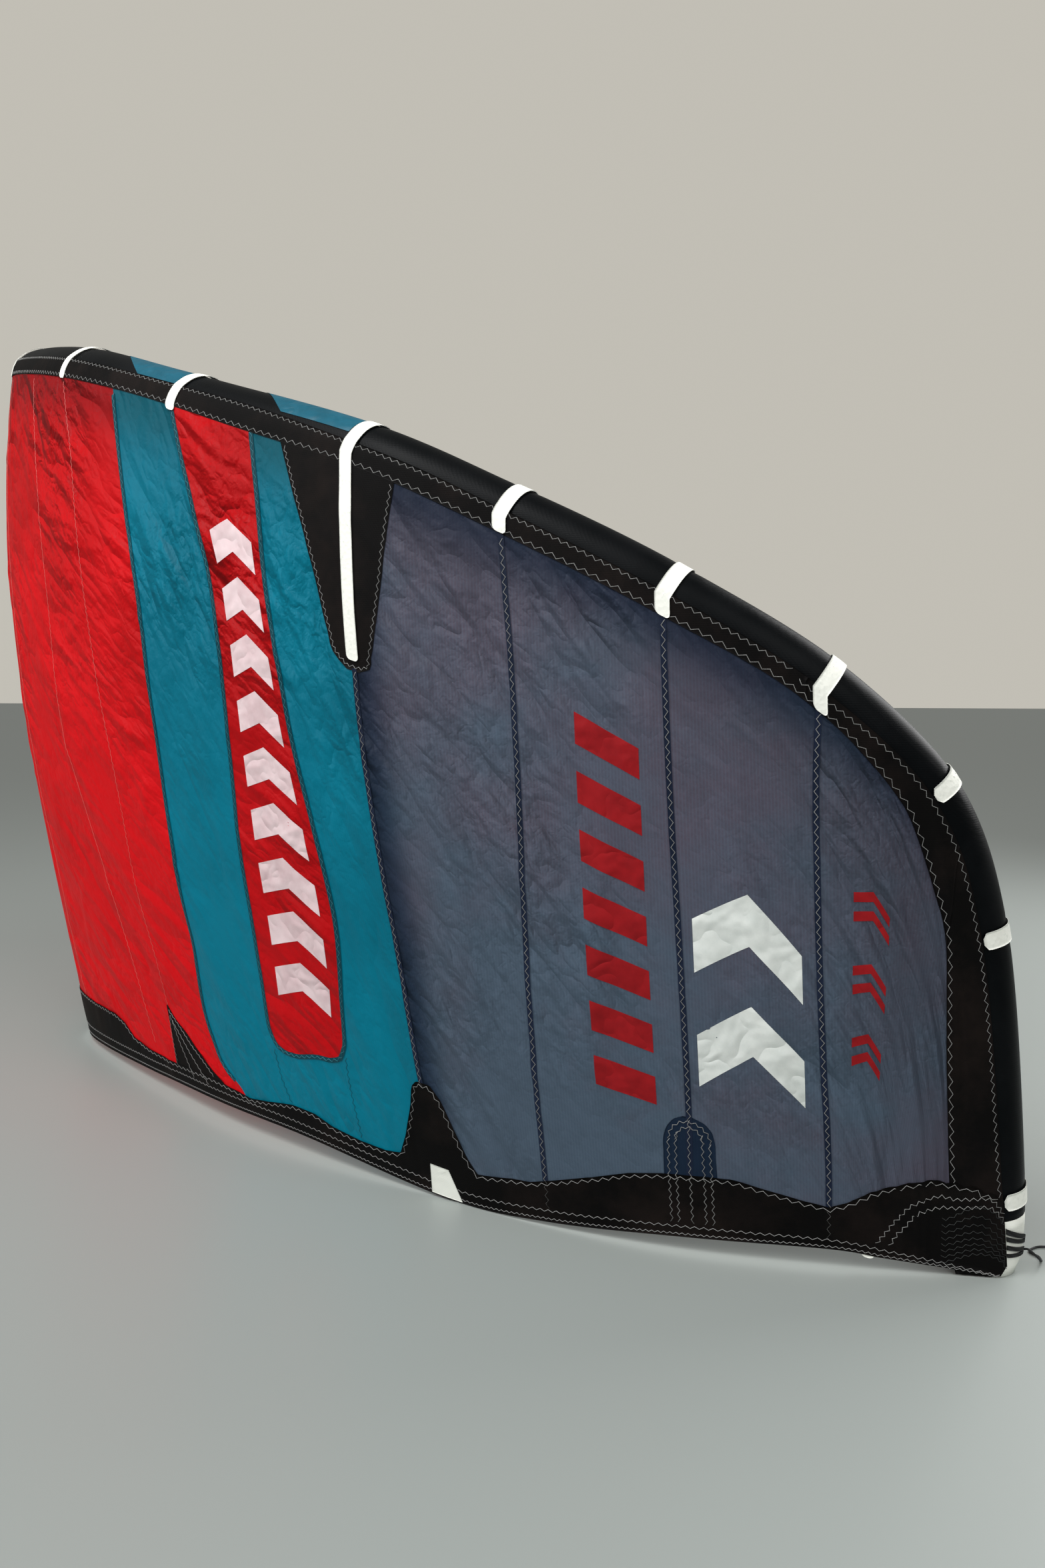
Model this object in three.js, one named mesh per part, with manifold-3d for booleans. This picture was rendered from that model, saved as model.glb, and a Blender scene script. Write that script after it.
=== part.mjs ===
// An inflated kitesurfing kite that stands on its trailing edge and its two tips.
// Seen from above it is a C: the rounded outer side faces -Y, the tips point to +Y.
// Millimetres, +Z up, symmetric about X = 0. The near half lies at +X.
import * as THREE from 'three';
import { mergeVertices } from 'three/addons/utils/BufferGeometryUtils.js';
import Module from 'manifold-3d';

// Driving dimensions
const GAP = 0.3; // between two pieces that touch
const CLOTH = 1.4; // a canopy panel with its doubled seams
const TUBE_SIDES = 16;
const TUBE_FACET = 360 / TUBE_SIDES;
const PANEL_ROWS = 12; // down each canopy panel
const BULGE_LEAN = 0.8; // how much more the cloth stands out near the tube than near its foot
const FOLD_FALL = 4; // how steeply a fold falls off at its half width
const PROBE = 0.01; // the step at which a direction on the cloth is taken
const TOP_PROBE = 0.02; // the same at the cloth's top edge

// Stations from the centre strut out to the tip. le is where the canopy leaves the leading
// edge tube, te is the trailing edge below it, tube is the tube's radius, bulge is how far
// the cloth stands out from the straight line between le and te, wrap is how far the cloth
// runs up on the tube in degrees, and steps is the number of facets to the next station.
const STATIONS = [
  { le: [0, -162, 1592], te: [0, 0, 6], tube: 72, bulge: 58, wrap: 22, steps: 3 },
  { le: [180, -123, 1578], te: [207, 33, 13], tube: 71, bulge: 62, wrap: 22, steps: 5 },
  { le: [590, 148, 1472], te: [643, 413, 32], tube: 69, bulge: 61, wrap: 22, steps: 4 },
  { le: [838, 433, 1362], te: [869, 668, 32], tube: 66, bulge: 52, wrap: 22, steps: 4 },
  { le: [1077, 780, 1233], te: [1061, 939, 3], tube: 59, bulge: 42, wrap: 18, steps: 3 },
  { le: [1193, 1025, 1119], te: [1156, 1109, 7], tube: 54, bulge: 31, wrap: 12, steps: 3 },
  { le: [1291, 1259, 995], te: [1239, 1322, 23], tube: 52, bulge: 23, wrap: 8, steps: 3 },
  { le: [1342, 1474, 861], te: [1284, 1524, 28], tube: 52, bulge: 14, wrap: 5, steps: 3 },
  { le: [1337, 1639, 711], te: [1294, 1599, 20], tube: 53, bulge: 9, wrap: 2, steps: 3 },
  { le: [1325, 1719, 504], te: [1302, 1661, 14], tube: 53, bulge: 6, wrap: 2, steps: 3 },
  { le: [1314, 1769, 112], te: [1313, 1744, 6], tube: 48, bulge: 2, wrap: 2, steps: 6 },
  { le: [1312, 1780, 0], te: [1315, 1774, 2], tube: 41, bulge: 0, wrap: 2, steps: 0 },
];
// The stations where two lengths of the tube are joined, from the middle to the tip's end
const JOINTS = [0, 2, 3, 4, 5, 6, 7, 8, 9, 10, 11];
const PANELS = 7; // from one joint to the next, the last one out to the tip
const SIDE_STRUT = 4; // the station of the side struts
const TIP_STOP = 10.83; // the tip panel ends here, just above the end of the tube

// The cut of each seam: how far it stands off its station, in stations, at seven depths
const SEAM_DEPTHS = [0, 0.1, 0.25, 0.5, 0.75, 0.9, 1];
const SEAMS = [
  { station: 0, off: [0, 0, 0, 0, 0, 0, 0] },
  { station: 2, off: [0, 0.09, 0.09, 0.05, -0.07, -0.05, 0] },
  { station: 3, off: [0, 0.09, 0.19, 0.11, -0.01, -0.09, 0] },
  { station: 4, off: [0, -0.01, -0.04, -0.03, -0.02, -0.02, 0] },
  { station: 5, off: [0, 0.03, 0.06, 0.05, 0.01, 0, 0] },
  { station: 6, off: [0, 0, 0.02, 0.03, 0.04, 0.02, 0] },
  { station: 7, off: [0, -0.03, -0.04, -0.04, -0.02, 0, 0] },
];

// Long soft folds in the cloth: from and to are [station, depth], height is how far the cloth
// stands out, and width is the half width in stations.
const FOLDS = [
  { from: [1.3, 0.3], to: [2.1, 0.8], height: 9, width: 0.16 },
  { from: [1.1, 0.55], to: [1.75, 0.97], height: 8, width: 0.14 },
  { from: [2.15, 0.45], to: [2.75, 0.95], height: 7, width: 0.15 },
  { from: [2.3, 0.12], to: [2.7, 0.5], height: 5, width: 0.16 },
  { from: [3.35, 0.5], to: [3.75, 0.95], height: 6, width: 0.15 },
  { from: [4.25, 0.2], to: [4.7, 0.75], height: 5, width: 0.17 },
  { from: [5.7, 0.25], to: [5.3, 0.85], height: 5, width: 0.17 },
  { from: [6.3, 0.15], to: [6.75, 0.8], height: 5, width: 0.17 },
  { from: [7.2, 0.2], to: [7.9, 0.75], height: 4, width: 0.3 },
];

// Struts: inflated tubes on the hollow side, each under a canopy seam, on flat feet
const STRUTS = [
  { name: 'strut_centre', station: 0, side: 1, top: 50, foot: 25 },
  { name: 'strut_near', station: SIDE_STRUT, side: 1, top: 40, foot: 21 },
  { name: 'strut_far', station: SIDE_STRUT, side: -1, top: 40, foot: 21 },
];
const STRUT_SIDES = 12;
const STRUT_ROWS = 12;
const STRUT_START = 0.045; // the depth of its upper end, which is cut to the tube
const STRUT_CLEAR = 0.8;
const STRUT_PROBE = 0.03; // the step in depth at which a strut's direction is taken

// White tape round each joint of the leading edge. Its lower end reaches down over the cloth
// to this depth, and much further down along the side strut.
const TAPE = { width: 25, thick: 1.2, clear: 1.1, lift: 0.5, depth: 0.03, strutDepth: 0.27 };
const TAPE_END = 292.5; // how far round the tube it goes, in degrees
const TAPE_END_AT_STRUT = 180;
const TAPE_BEND = 2.5; // rows round the tube are further apart than this, in degrees
const TAPE_ON_CLOTH = 7; // joints from the centre out to this one have tape over the cloth

// Webbing sewn round the end of the tube, from the canopy's edge over three of its facets, at
// a place between the last two stations, slanting down by a share of a station
const WEBBINGS = [
  { name: 'webbing_upper', place: 10.25, slant: 0.12, width: 20 },
  { name: 'webbing_lower', place: 10.5, slant: 0.17, width: 17 },
];
const WEBBING_THICK = 2;
const WEBBING_CLEAR = 0.9;
const WEBBING_START = 0.18; // in facets, just past the canopy's edge
const WEBBING_FACETS = 3;

// The short pigtail line on the near tip: square out of the lower webbing's last facet by lead,
// down to the surface, and along it in a loose S to a stopper knot
const PIGTAIL = { radius: 1.7, sides: 8, step: 8, from: 0.6, lead: 7, knot: 4.2, knotSides: 10, knotRows: 6 };
const PIGTAIL_ROUTE = [
  [1284, 1840, 14], [1275, 1847, 5.5], [1266, 1852, 2.2],
  [1255, 1853, 2.1], [1248, 1849, 2.1], [1241, 1846, 2.1], [1234, 1848, 2.1], [1228, 1856, 2.1],
  [1223, 1866, 2.1], [1223, 1879, 2.1], [1228, 1893, 2.1], [1236, 1908, 2.1], [1241, 1925, 2.1],
  [1240, 1945, 2.1],
];

const COLOURS = {
  red: [0xb3202c, 0.55],
  teal: [0x0e6f80, 0.55],
  grey: [0x5a6172, 0.55],
  black: [0x17181c, 0.6],
  white: [0xe8e8e2, 0.6],
};
const PANEL_COLOURS = ['red', 'teal', 'teal', 'grey', 'grey', 'grey', 'grey'];

const wasm = await Module();
wasm.setup();

function vector(list) {
  return new THREE.Vector3(...list);
}

// One smooth curve through the le or te points, mirrored past the centre so that it crosses
// the middle square to it.
function stationCurve(key) {
  const points = STATIONS.map((row) => vector(row[key]));
  const mirrored = points[1].clone().multiply(vector([-1, 1, 1]));
  return new THREE.CatmullRomCurve3([mirrored, ...points], false, 'catmullrom', 0.5);
}
const curves = { le: stationCurve('le'), te: stationCurve('te') };

function onCurve(key, q) {
  return curves[key].getPoint((q + 1) / STATIONS.length);
}

function alongCurve(key, q) {
  return curves[key].getTangent((q + 1) / STATIONS.length);
}

function atStation(key, q) {
  const i = THREE.MathUtils.clamp(Math.floor(q), 0, STATIONS.length - 2);
  return THREE.MathUtils.lerp(STATIONS[i][key], STATIONS[i + 1][key], q - i);
}

// The level direction that points out of the hollow side at a station
function outward(q) {
  const along = alongCurve('le', q).add(alongCurve('te', q)).setZ(0).normalize();
  return new THREE.Vector3(along.y, -along.x, 0);
}

function bulgeShape(depth) {
  return 4 * depth * (1 - depth) * (1 + BULGE_LEAN * (0.5 - depth));
}

function foldHeight(q, depth) {
  let height = 0;
  for (const fold of FOLDS) {
    const run = [fold.to[0] - fold.from[0], fold.to[1] - fold.from[1]];
    const offset = [q - fold.from[0], depth - fold.from[1]];
    const length = run[0] ** 2 + run[1] ** 2;
    const share = (offset[0] * run[0] + offset[1] * run[1]) / length;
    const across = Math.abs(offset[0] * run[1] - offset[1] * run[0]) / Math.sqrt(length);
    if (share > 0 && share < 1) {
      height += fold.height * Math.sin(Math.PI * share) * Math.exp(-FOLD_FALL * (across / fold.width) ** 2);
    }
  }
  return height;
}

// A point of the cloth's inner face, at a station and a depth from 0 at the tube to 1 at the
// trailing edge
function clothPoint(q, depth) {
  const le = onCurve('le', q);
  const te = onCurve('te', q);
  const out = atStation('bulge', q) * bulgeShape(depth) + foldHeight(q, depth);
  return le.lerp(te, depth).addScaledVector(outward(q), out);
}

function clothNormal(q, depth) {
  const low = Math.max(depth - PROBE, 0);
  const high = Math.min(depth + PROBE, 1);
  const down = clothPoint(q, high).sub(clothPoint(q, low));
  const across = clothPoint(q + PROBE, depth).sub(clothPoint(q - PROBE, depth));
  const normal = across.cross(down).negate().normalize();
  return normal.dot(outward(q)) < 0 ? normal.negate() : normal;
}

// The leading edge tube's own axes at a station: centre, out through the cloth, and up
function tubeFrame(q) {
  const along = alongCurve('le', q);
  const down = clothPoint(q, TOP_PROBE).sub(clothPoint(q, 0)).normalize();
  const out = outward(q);
  out.addScaledVector(down, -out.dot(down));
  out.addScaledVector(along, -out.dot(along)).normalize();
  const up = out.clone().cross(along).normalize();
  const radius = atStation('tube', q);
  const centre = onCurve('le', q).addScaledVector(out, -(radius + GAP));
  return { centre, out, up, along, radius };
}

function onTube(frame, degrees, radius) {
  const angle = THREE.MathUtils.degToRad(degrees);
  return frame.centre
    .clone()
    .addScaledVector(frame.out, radius * Math.cos(angle))
    .addScaledVector(frame.up, radius * Math.sin(angle));
}

// A closed body from rings of points, each ring with the same number of points
function ringSolid(rings) {
  const size = rings[0].length;
  const positions = rings.flat().flatMap((p) => [p.x, p.y, p.z]);
  const index = [];
  for (let r = 0; r < rings.length - 1; r += 1) {
    for (let i = 0; i < size; i += 1) {
      const a = r * size + i;
      const b = r * size + ((i + 1) % size);
      index.push(a, b, b + size, a, b + size, a + size);
    }
  }
  const last = (rings.length - 1) * size;
  for (let i = 1; i < size - 1; i += 1) {
    index.push(0, i + 1, i, last, last + i, last + i + 1);
  }
  return facingOut(positions, index);
}

// A closed sheet from a grid of points of its inner face and the same grid of its outer face
function sheetSolid(inner, outer) {
  const rows = inner.length;
  const columns = inner[0].length;
  const half = rows * columns;
  const positions = [...inner.flat(), ...outer.flat()].flatMap((p) => [p.x, p.y, p.z]);
  const index = [];
  const quad = (a, b, c, d) => index.push(a, b, c, a, c, d);
  for (let r = 0; r < rows - 1; r += 1) {
    for (let i = 0; i < columns - 1; i += 1) {
      const a = r * columns + i;
      quad(a, a + columns, a + columns + 1, a + 1);
      quad(half + a, half + a + 1, half + a + columns + 1, half + a + columns);
    }
    const left = r * columns;
    const right = left + columns - 1;
    quad(left, half + left, half + left + columns, left + columns);
    quad(right, right + columns, half + right + columns, half + right);
  }
  const foot = (rows - 1) * columns;
  for (let i = 0; i < columns - 1; i += 1) {
    quad(i, i + 1, half + i + 1, half + i);
    quad(foot + i, half + foot + i, half + foot + i + 1, foot + i + 1);
  }
  return facingOut(positions, index);
}

function facingOut(positions, index) {
  const p = (i) => new THREE.Vector3().fromArray(positions, 3 * i);
  let volume = 0;
  for (let i = 0; i < index.length; i += 3) {
    volume += p(index[i]).dot(p(index[i + 1]).cross(p(index[i + 2])));
  }
  if (volume < 0) {
    for (let i = 0; i < index.length; i += 3) {
      [index[i], index[i + 1]] = [index[i + 1], index[i]];
    }
  }
  const geometry = new THREE.BufferGeometry();
  geometry.setAttribute('position', new THREE.Float32BufferAttribute(positions, 3));
  geometry.setIndex(index);
  return geometry;
}

// Every half is built at +X, and the far one is its mirror image.
function mirrored(points, side) {
  return points.map((row) => row.map((p) => new THREE.Vector3(side * p.x, p.y, p.z)));
}

// How many stations one millimetre is, along the cloth at a depth
function perMillimetre(q, depth) {
  return (2 * PROBE) / clothPoint(q + PROBE, depth).distanceTo(clothPoint(q - PROBE, depth));
}

// Rings of the tube at each facet from one station to another, short of them by a gap at
// each end
function tubeRings(first, last, gapBefore, gapAfter, grow = 0) {
  const from = first + perMillimetre(first, 0) * gapBefore;
  const to = last - perMillimetre(last, 0) * gapAfter;
  const rings = [];
  for (const share of columnShares(first, last)) {
    const frame = tubeFrame(THREE.MathUtils.lerp(from, to, share));
    const ring = [];
    for (let i = 0; i < TUBE_SIDES; i += 1) {
      ring.push(onTube(frame, i * TUBE_FACET, frame.radius + grow));
    }
    rings.push(ring);
  }
  return rings;
}

// One length of the leading edge tube, from one joint to the next. The last one ends in a flat
// foot on the surface.
function tubeSegment(first, last, side) {
  const isTip = last === STATIONS.length - 1;
  const rings = tubeRings(first, last, GAP / 2, isTip ? 0 : GAP / 2);
  if (isTip) {
    rings.at(-1).forEach((p) => p.setZ(0));
  }
  return ringSolid(mirrored(rings, side));
}

// A seam's place at a depth, in stations: a smooth curve through its table
function seamAt(station, depth) {
  const seam = SEAMS.find((row) => row.station === station);
  if (!seam) {
    return station;
  }
  const last = SEAM_DEPTHS.length - 1;
  const i = Math.max(SEAM_DEPTHS.findIndex((d) => d >= depth) - 1, 0);
  const slope = (k) => {
    const [a, b] = [Math.max(k - 1, 0), Math.min(k + 1, last)];
    return (seam.off[b] - seam.off[a]) / (SEAM_DEPTHS[b] - SEAM_DEPTHS[a]);
  };
  const width = SEAM_DEPTHS[i + 1] - SEAM_DEPTHS[i];
  const w = (depth - SEAM_DEPTHS[i]) / width;
  const ease = THREE.MathUtils.lerp(seam.off[i], seam.off[i + 1], w * w * (3 - 2 * w));
  return station + ease + w * (1 - w) * width * ((1 - w) * slope(i) - w * slope(i + 1));
}

// One canopy panel, from its top edge, wrapped up on the tube, down to the trailing edge
function canopyPanel(first, last, side) {
  const columns = columnShares(first, last);
  const inner = [];
  const outer = [];
  for (let row = -1; row <= PANEL_ROWS; row += 1) {
    const depth = Math.max(row, 0) / PANEL_ROWS;
    const start = seamAt(first, depth);
    const end = seamAt(last, depth);
    const edge = perMillimetre(start, depth) * (GAP / 2);
    const inside = [];
    const outside = [];
    for (const share of columns) {
      const q = THREE.MathUtils.lerp(start + edge, end - edge, share);
      if (row < 1) {
        const frame = tubeFrame(q);
        const degrees = row < 0 ? atStation('wrap', q) : 0;
        inside.push(onTube(frame, degrees, frame.radius + GAP));
        outside.push(onTube(frame, degrees, frame.radius + GAP + CLOTH));
      } else {
        const p = clothPoint(q, depth);
        inside.push(p);
        outside.push(p.clone().addScaledVector(clothNormal(q, depth), CLOTH));
      }
    }
    inner.push(inside);
    outer.push(outside);
  }
  return sheetSolid(mirrored(inner, side), mirrored(outer, side));
}

// The shares of a panel's width at which its columns lie, in line with the tube's rings
function columnShares(first, last) {
  const places = [];
  for (let number = first; number < last; number += 1) {
    const steps = STATIONS[number].steps;
    for (let s = 0; s < steps && number + s / steps < last; s += 1) {
      places.push(number + s / steps);
    }
  }
  places.push(last);
  return places.map((q) => (q - first) / (last - first));
}

// A strip of cloth or webbing: rows of places across its width, each given as a point of its
// inner face and the direction away from the tube or cloth
function stripSolid(rows, thick, side) {
  const inner = rows.map((row) => row.map(({ point }) => point));
  const outer = rows.map((row) =>
    row.map(({ point, away }) => point.clone().addScaledVector(away, thick)),
  );
  return sheetSolid(mirrored(inner, side), mirrored(outer, side));
}

function placeOnTube(q, degrees, height) {
  const frame = tubeFrame(q);
  const point = onTube(frame, degrees, frame.radius + height);
  return { point, away: point.clone().sub(frame.centre).normalize() };
}

function placeOnCloth(q, depth, height) {
  const away = clothNormal(q, depth);
  return { point: clothPoint(q, depth).addScaledVector(away, height), away };
}

// A place on the flat between two rings of the tube
function placeOnFacet(q, degrees, height) {
  const { steps } = STATIONS[Math.floor(q)];
  const before = Math.floor(q) + Math.floor((q % 1) * steps) / steps;
  const [low, high] = [before, before + 1 / steps].map((ring) => placeOnTube(ring, degrees, height));
  const share = (q - before) * steps;
  return {
    point: low.point.lerp(high.point, share),
    away: low.away.lerp(high.away, share).normalize(),
  };
}

// The two edges of a strip at a place along it. Past the middle of the kite they are mirrored.
function edges(q, wide, placeAt) {
  return [q - wide, q + wide].map((edge) => {
    const { point, away } = placeAt(Math.abs(edge));
    const side = vector([Math.sign(edge), 1, 1]);
    return { point: point.multiply(side), away: away.multiply(side) };
  });
}

// The tape round one joint: up over the cloth, over the tube and round to the hollow side
function jointTape(station, side) {
  const wide = perMillimetre(station, 0) * (TAPE.width / 2);
  const onCloth = (depth) => (q) => placeOnCloth(q, depth, CLOTH + TAPE.lift);
  const onTop = (degrees, height) => (q) => placeOnTube(q, degrees, height);
  const hasStrut = STRUTS.some((row) => row.station === station);
  const wrap = atStation('wrap', station);
  const overCloth = GAP + CLOTH + TAPE.lift;
  const rows = [];
  if (station <= TAPE_ON_CLOTH) {
    const deepest = station === SIDE_STRUT ? TAPE.strutDepth : TAPE.depth;
    const count = Math.ceil(deepest * PANEL_ROWS);
    for (let i = count; i > 0; i -= 1) {
      const depth = (deepest * i) / count;
      rows.push(edges(seamAt(station, depth), wide, onCloth(depth)));
    }
    rows.push(edges(station, wide, onTop(0, overCloth)));
    rows.push(edges(station, wide, onTop(wrap, overCloth)));
  } else {
    rows.push(edges(station, wide, onTop(wrap + TAPE_BEND, TAPE.clear)));
  }
  if (wrap < TUBE_FACET - TAPE_BEND) {
    rows.push(edges(station, wide, onTop(TUBE_FACET, TAPE.clear)));
  }
  const end = hasStrut ? TAPE_END_AT_STRUT : TAPE_END;
  for (let degrees = 2 * TUBE_FACET; degrees <= end; degrees += TUBE_FACET) {
    rows.push(edges(station, wide, onTop(degrees, TAPE.clear)));
  }
  return stripSolid(rows, TAPE.thick, side);
}

function webbing({ place, slant, width }, side) {
  const wide = perMillimetre(place, 0) * (width / 2);
  const rows = [];
  for (const facet of [WEBBING_START, 1, 2, WEBBING_FACETS]) {
    const q = place + (slant * facet) / WEBBING_FACETS;
    rows.push(edges(q, wide, (edge) => placeOnFacet(edge, facet * TUBE_FACET, WEBBING_CLEAR)));
  }
  return stripSolid(rows, WEBBING_THICK, side);
}

function toManifold(geometry) {
  const merged = mergeVertices(geometry);
  return new wasm.Manifold(
    new wasm.Mesh({
      numProp: 3,
      vertProperties: new Float32Array(merged.attributes.position.array),
      triVerts: new Uint32Array(merged.index.array),
    }),
  );
}

function fromManifold(solid) {
  const mesh = solid.getMesh();
  const geometry = new THREE.BufferGeometry();
  geometry.setAttribute('position', new THREE.BufferAttribute(mesh.vertProperties, 3));
  geometry.setIndex(new THREE.BufferAttribute(mesh.triVerts, 1));
  return geometry;
}

// The tube on both sides of a joint, a gap larger, with its rings where the real ones are
function ringsAbout(station) {
  const outside = tubeRings(station, station + 1, 0, 0, GAP);
  const inside =
    station === 0 ? mirrored(outside, -1).reverse() : tubeRings(station - 1, station, 0, 0, GAP);
  return [...inside, ...outside.slice(1)];
}

// A strut: a tapered tube under its seam, cut to the leading edge tube and flat at its foot
function strut({ station, side, top, foot }) {
  const rings = [];
  let down;
  for (let row = 0; row <= STRUT_ROWS; row += 1) {
    const depth = THREE.MathUtils.lerp(STRUT_START, 1, row / STRUT_ROWS);
    const q = seamAt(station, depth);
    const out = clothNormal(q, depth);
    const radius = THREE.MathUtils.lerp(top, foot, depth);
    const higher = Math.max(depth - STRUT_PROBE, 0);
    down = clothPoint(q, depth).sub(clothPoint(seamAt(station, higher), higher)).normalize();
    const beside = out.clone().cross(down).normalize();
    const centre = clothPoint(q, depth).addScaledVector(out, -(radius + STRUT_CLEAR));
    const ring = [];
    for (let i = 0; i < STRUT_SIDES; i += 1) {
      const angle = (2 * Math.PI * i) / STRUT_SIDES;
      ring.push(
        centre
          .clone()
          .addScaledVector(out, radius * Math.cos(angle))
          .addScaledVector(beside, radius * Math.sin(angle)),
      );
    }
    rings.push(ring);
  }
  rings[STRUT_ROWS] = rings[STRUT_ROWS].map((p) => p.addScaledVector(down, -p.z / down.z));
  const cutter = ringSolid(ringsAbout(station));
  const cut = toManifold(ringSolid(rings)).subtract(toManifold(cutter));
  const positions = fromManifold(cut);
  return side > 0 ? positions : mirrorGeometry(positions);
}

function mirrorGeometry(geometry) {
  const positions = Array.from(geometry.attributes.position.array);
  for (let i = 0; i < positions.length; i += 3) {
    positions[i] = -positions[i];
  }
  return facingOut(positions, Array.from(geometry.index.array));
}

function pigtail() {
  const { place, slant } = WEBBINGS[1];
  const height = WEBBING_CLEAR + WEBBING_THICK + GAP;
  const [before, end] = [WEBBING_FACETS - 1, WEBBING_FACETS].map((facet) => {
    const q = place + (slant * facet) / WEBBING_FACETS;
    return placeOnFacet(q, facet * TUBE_FACET, height);
  });
  const start = before.point.lerp(end.point, PIGTAIL.from);
  const away = before.away.lerp(end.away, PIGTAIL.from).normalize();
  const points = [start, start.clone().addScaledVector(away, PIGTAIL.lead)];
  points.push(...PIGTAIL_ROUTE.map(vector));
  const path = new THREE.CatmullRomCurve3(points, false, 'centripetal');
  const section = new THREE.Shape();
  for (let i = 0; i < PIGTAIL.sides; i += 1) {
    const angle = (2 * Math.PI * (i + 0.5)) / PIGTAIL.sides;
    const [x, y] = [PIGTAIL.radius * Math.cos(angle), PIGTAIL.radius * Math.sin(angle)];
    if (i === 0) {
      section.moveTo(x, y);
    } else {
      section.lineTo(x, y);
    }
  }
  section.closePath();
  const steps = Math.round(path.getLength() / PIGTAIL.step);
  return new THREE.ExtrudeGeometry(section, { steps, extrudePath: path, bevelEnabled: false });
}

function knotBesideEnd() {
  const last = vector(PIGTAIL_ROUTE.at(-1));
  const along = last.clone().sub(vector(PIGTAIL_ROUTE.at(-2))).normalize();
  const mesh = new THREE.SphereGeometry(PIGTAIL.knot, PIGTAIL.knotSides, PIGTAIL.knotRows);
  const centre = last.clone().addScaledVector(along, PIGTAIL.knot + GAP);
  mesh.translate(centre.x, centre.y, PIGTAIL.knot);
  return mesh;
}

function piece(name, geometry, colour) {
  const [hex, roughness] = COLOURS[colour];
  const material = new THREE.MeshStandardMaterial({ color: hex, roughness, metalness: 0 });
  const mesh = new THREE.Mesh(geometry, material);
  mesh.name = name;
  return mesh;
}

const kite = new THREE.Group();
for (const [half, side] of [['near', 1], ['far', -1]]) {
  for (let i = 1; i < JOINTS.length; i += 1) {
    kite.add(piece(`tube_${half}_${i}`, tubeSegment(JOINTS[i - 1], JOINTS[i], side), 'black'));
  }
  for (let i = 1; i <= PANELS; i += 1) {
    const panel = canopyPanel(JOINTS[i - 1], i < PANELS ? JOINTS[i] : TIP_STOP, side);
    kite.add(piece(`canopy_${half}_${i}`, panel, PANEL_COLOURS[i - 1]));
  }
  for (let i = 1; i < JOINTS.length - 1; i += 1) {
    kite.add(piece(`tape_${half}_${i}`, jointTape(JOINTS[i], side), 'white'));
  }
}
kite.add(piece('tape_centre', jointTape(0, 1), 'white'));
for (const row of STRUTS) {
  kite.add(piece(row.name, strut(row), 'black'));
}
for (const row of WEBBINGS) {
  kite.add(piece(`${row.name}_near`, webbing(row, 1), 'black'));
}

// The origin is on the surface, under the middle of the kite.
const box = new THREE.Box3().setFromObject(kite);
kite.position.set(0, -(box.min.y + box.max.y) / 2, 0);
kite.add(piece('pigtail_line', pigtail(), 'black'));
kite.add(piece('pigtail_knot', knotBesideEnd(), 'black'));

export default kite;
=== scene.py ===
import math
import bpy
import numpy as np
from mathutils import Matrix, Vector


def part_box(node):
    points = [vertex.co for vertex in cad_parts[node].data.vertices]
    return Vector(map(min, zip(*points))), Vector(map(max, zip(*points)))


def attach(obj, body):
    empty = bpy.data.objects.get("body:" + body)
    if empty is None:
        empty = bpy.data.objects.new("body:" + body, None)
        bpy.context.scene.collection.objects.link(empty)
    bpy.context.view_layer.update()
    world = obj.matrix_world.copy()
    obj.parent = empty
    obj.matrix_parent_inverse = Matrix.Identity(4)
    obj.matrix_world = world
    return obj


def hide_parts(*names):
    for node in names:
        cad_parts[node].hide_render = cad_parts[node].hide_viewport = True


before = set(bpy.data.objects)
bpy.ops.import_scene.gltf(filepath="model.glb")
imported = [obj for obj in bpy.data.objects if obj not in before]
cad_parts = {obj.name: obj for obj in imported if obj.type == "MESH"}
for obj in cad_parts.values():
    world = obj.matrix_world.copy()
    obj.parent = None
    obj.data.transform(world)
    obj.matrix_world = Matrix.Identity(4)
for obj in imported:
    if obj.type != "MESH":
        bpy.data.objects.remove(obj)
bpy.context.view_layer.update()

# The camera stands where the photograph was taken from: in front of the near wing, at half its
# height, looking along -X and a little down.
EYE = (2.98365, 0.24102, 0.8715)
LOOKS_DOWN = math.radians(4.95)
LEANS = math.radians(0.3)
FOCAL_LENGTH = 27.05  # mm
SENSOR_SIZE = 36  # mm, along the taller side of the frame

camera_data = bpy.data.cameras.new("camera")
camera_data.sensor_width = SENSOR_SIZE
camera_data.lens = FOCAL_LENGTH
camera = bpy.data.objects.new("camera", camera_data)
back = np.array([math.cos(LOOKS_DOWN), 0, math.sin(LOOKS_DOWN)])
level_up = np.array([-math.sin(LOOKS_DOWN), 0, math.cos(LOOKS_DOWN)])
right = math.cos(LEANS) * np.array([0, 1, 0]) + math.sin(LEANS) * level_up
turned = np.column_stack([right, np.cross(back, right), back, EYE])
camera.matrix_world = Matrix([*turned.tolist(), [0, 0, 0, 1]])
bpy.context.collection.objects.link(camera)
bpy.context.scene.camera = camera

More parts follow.
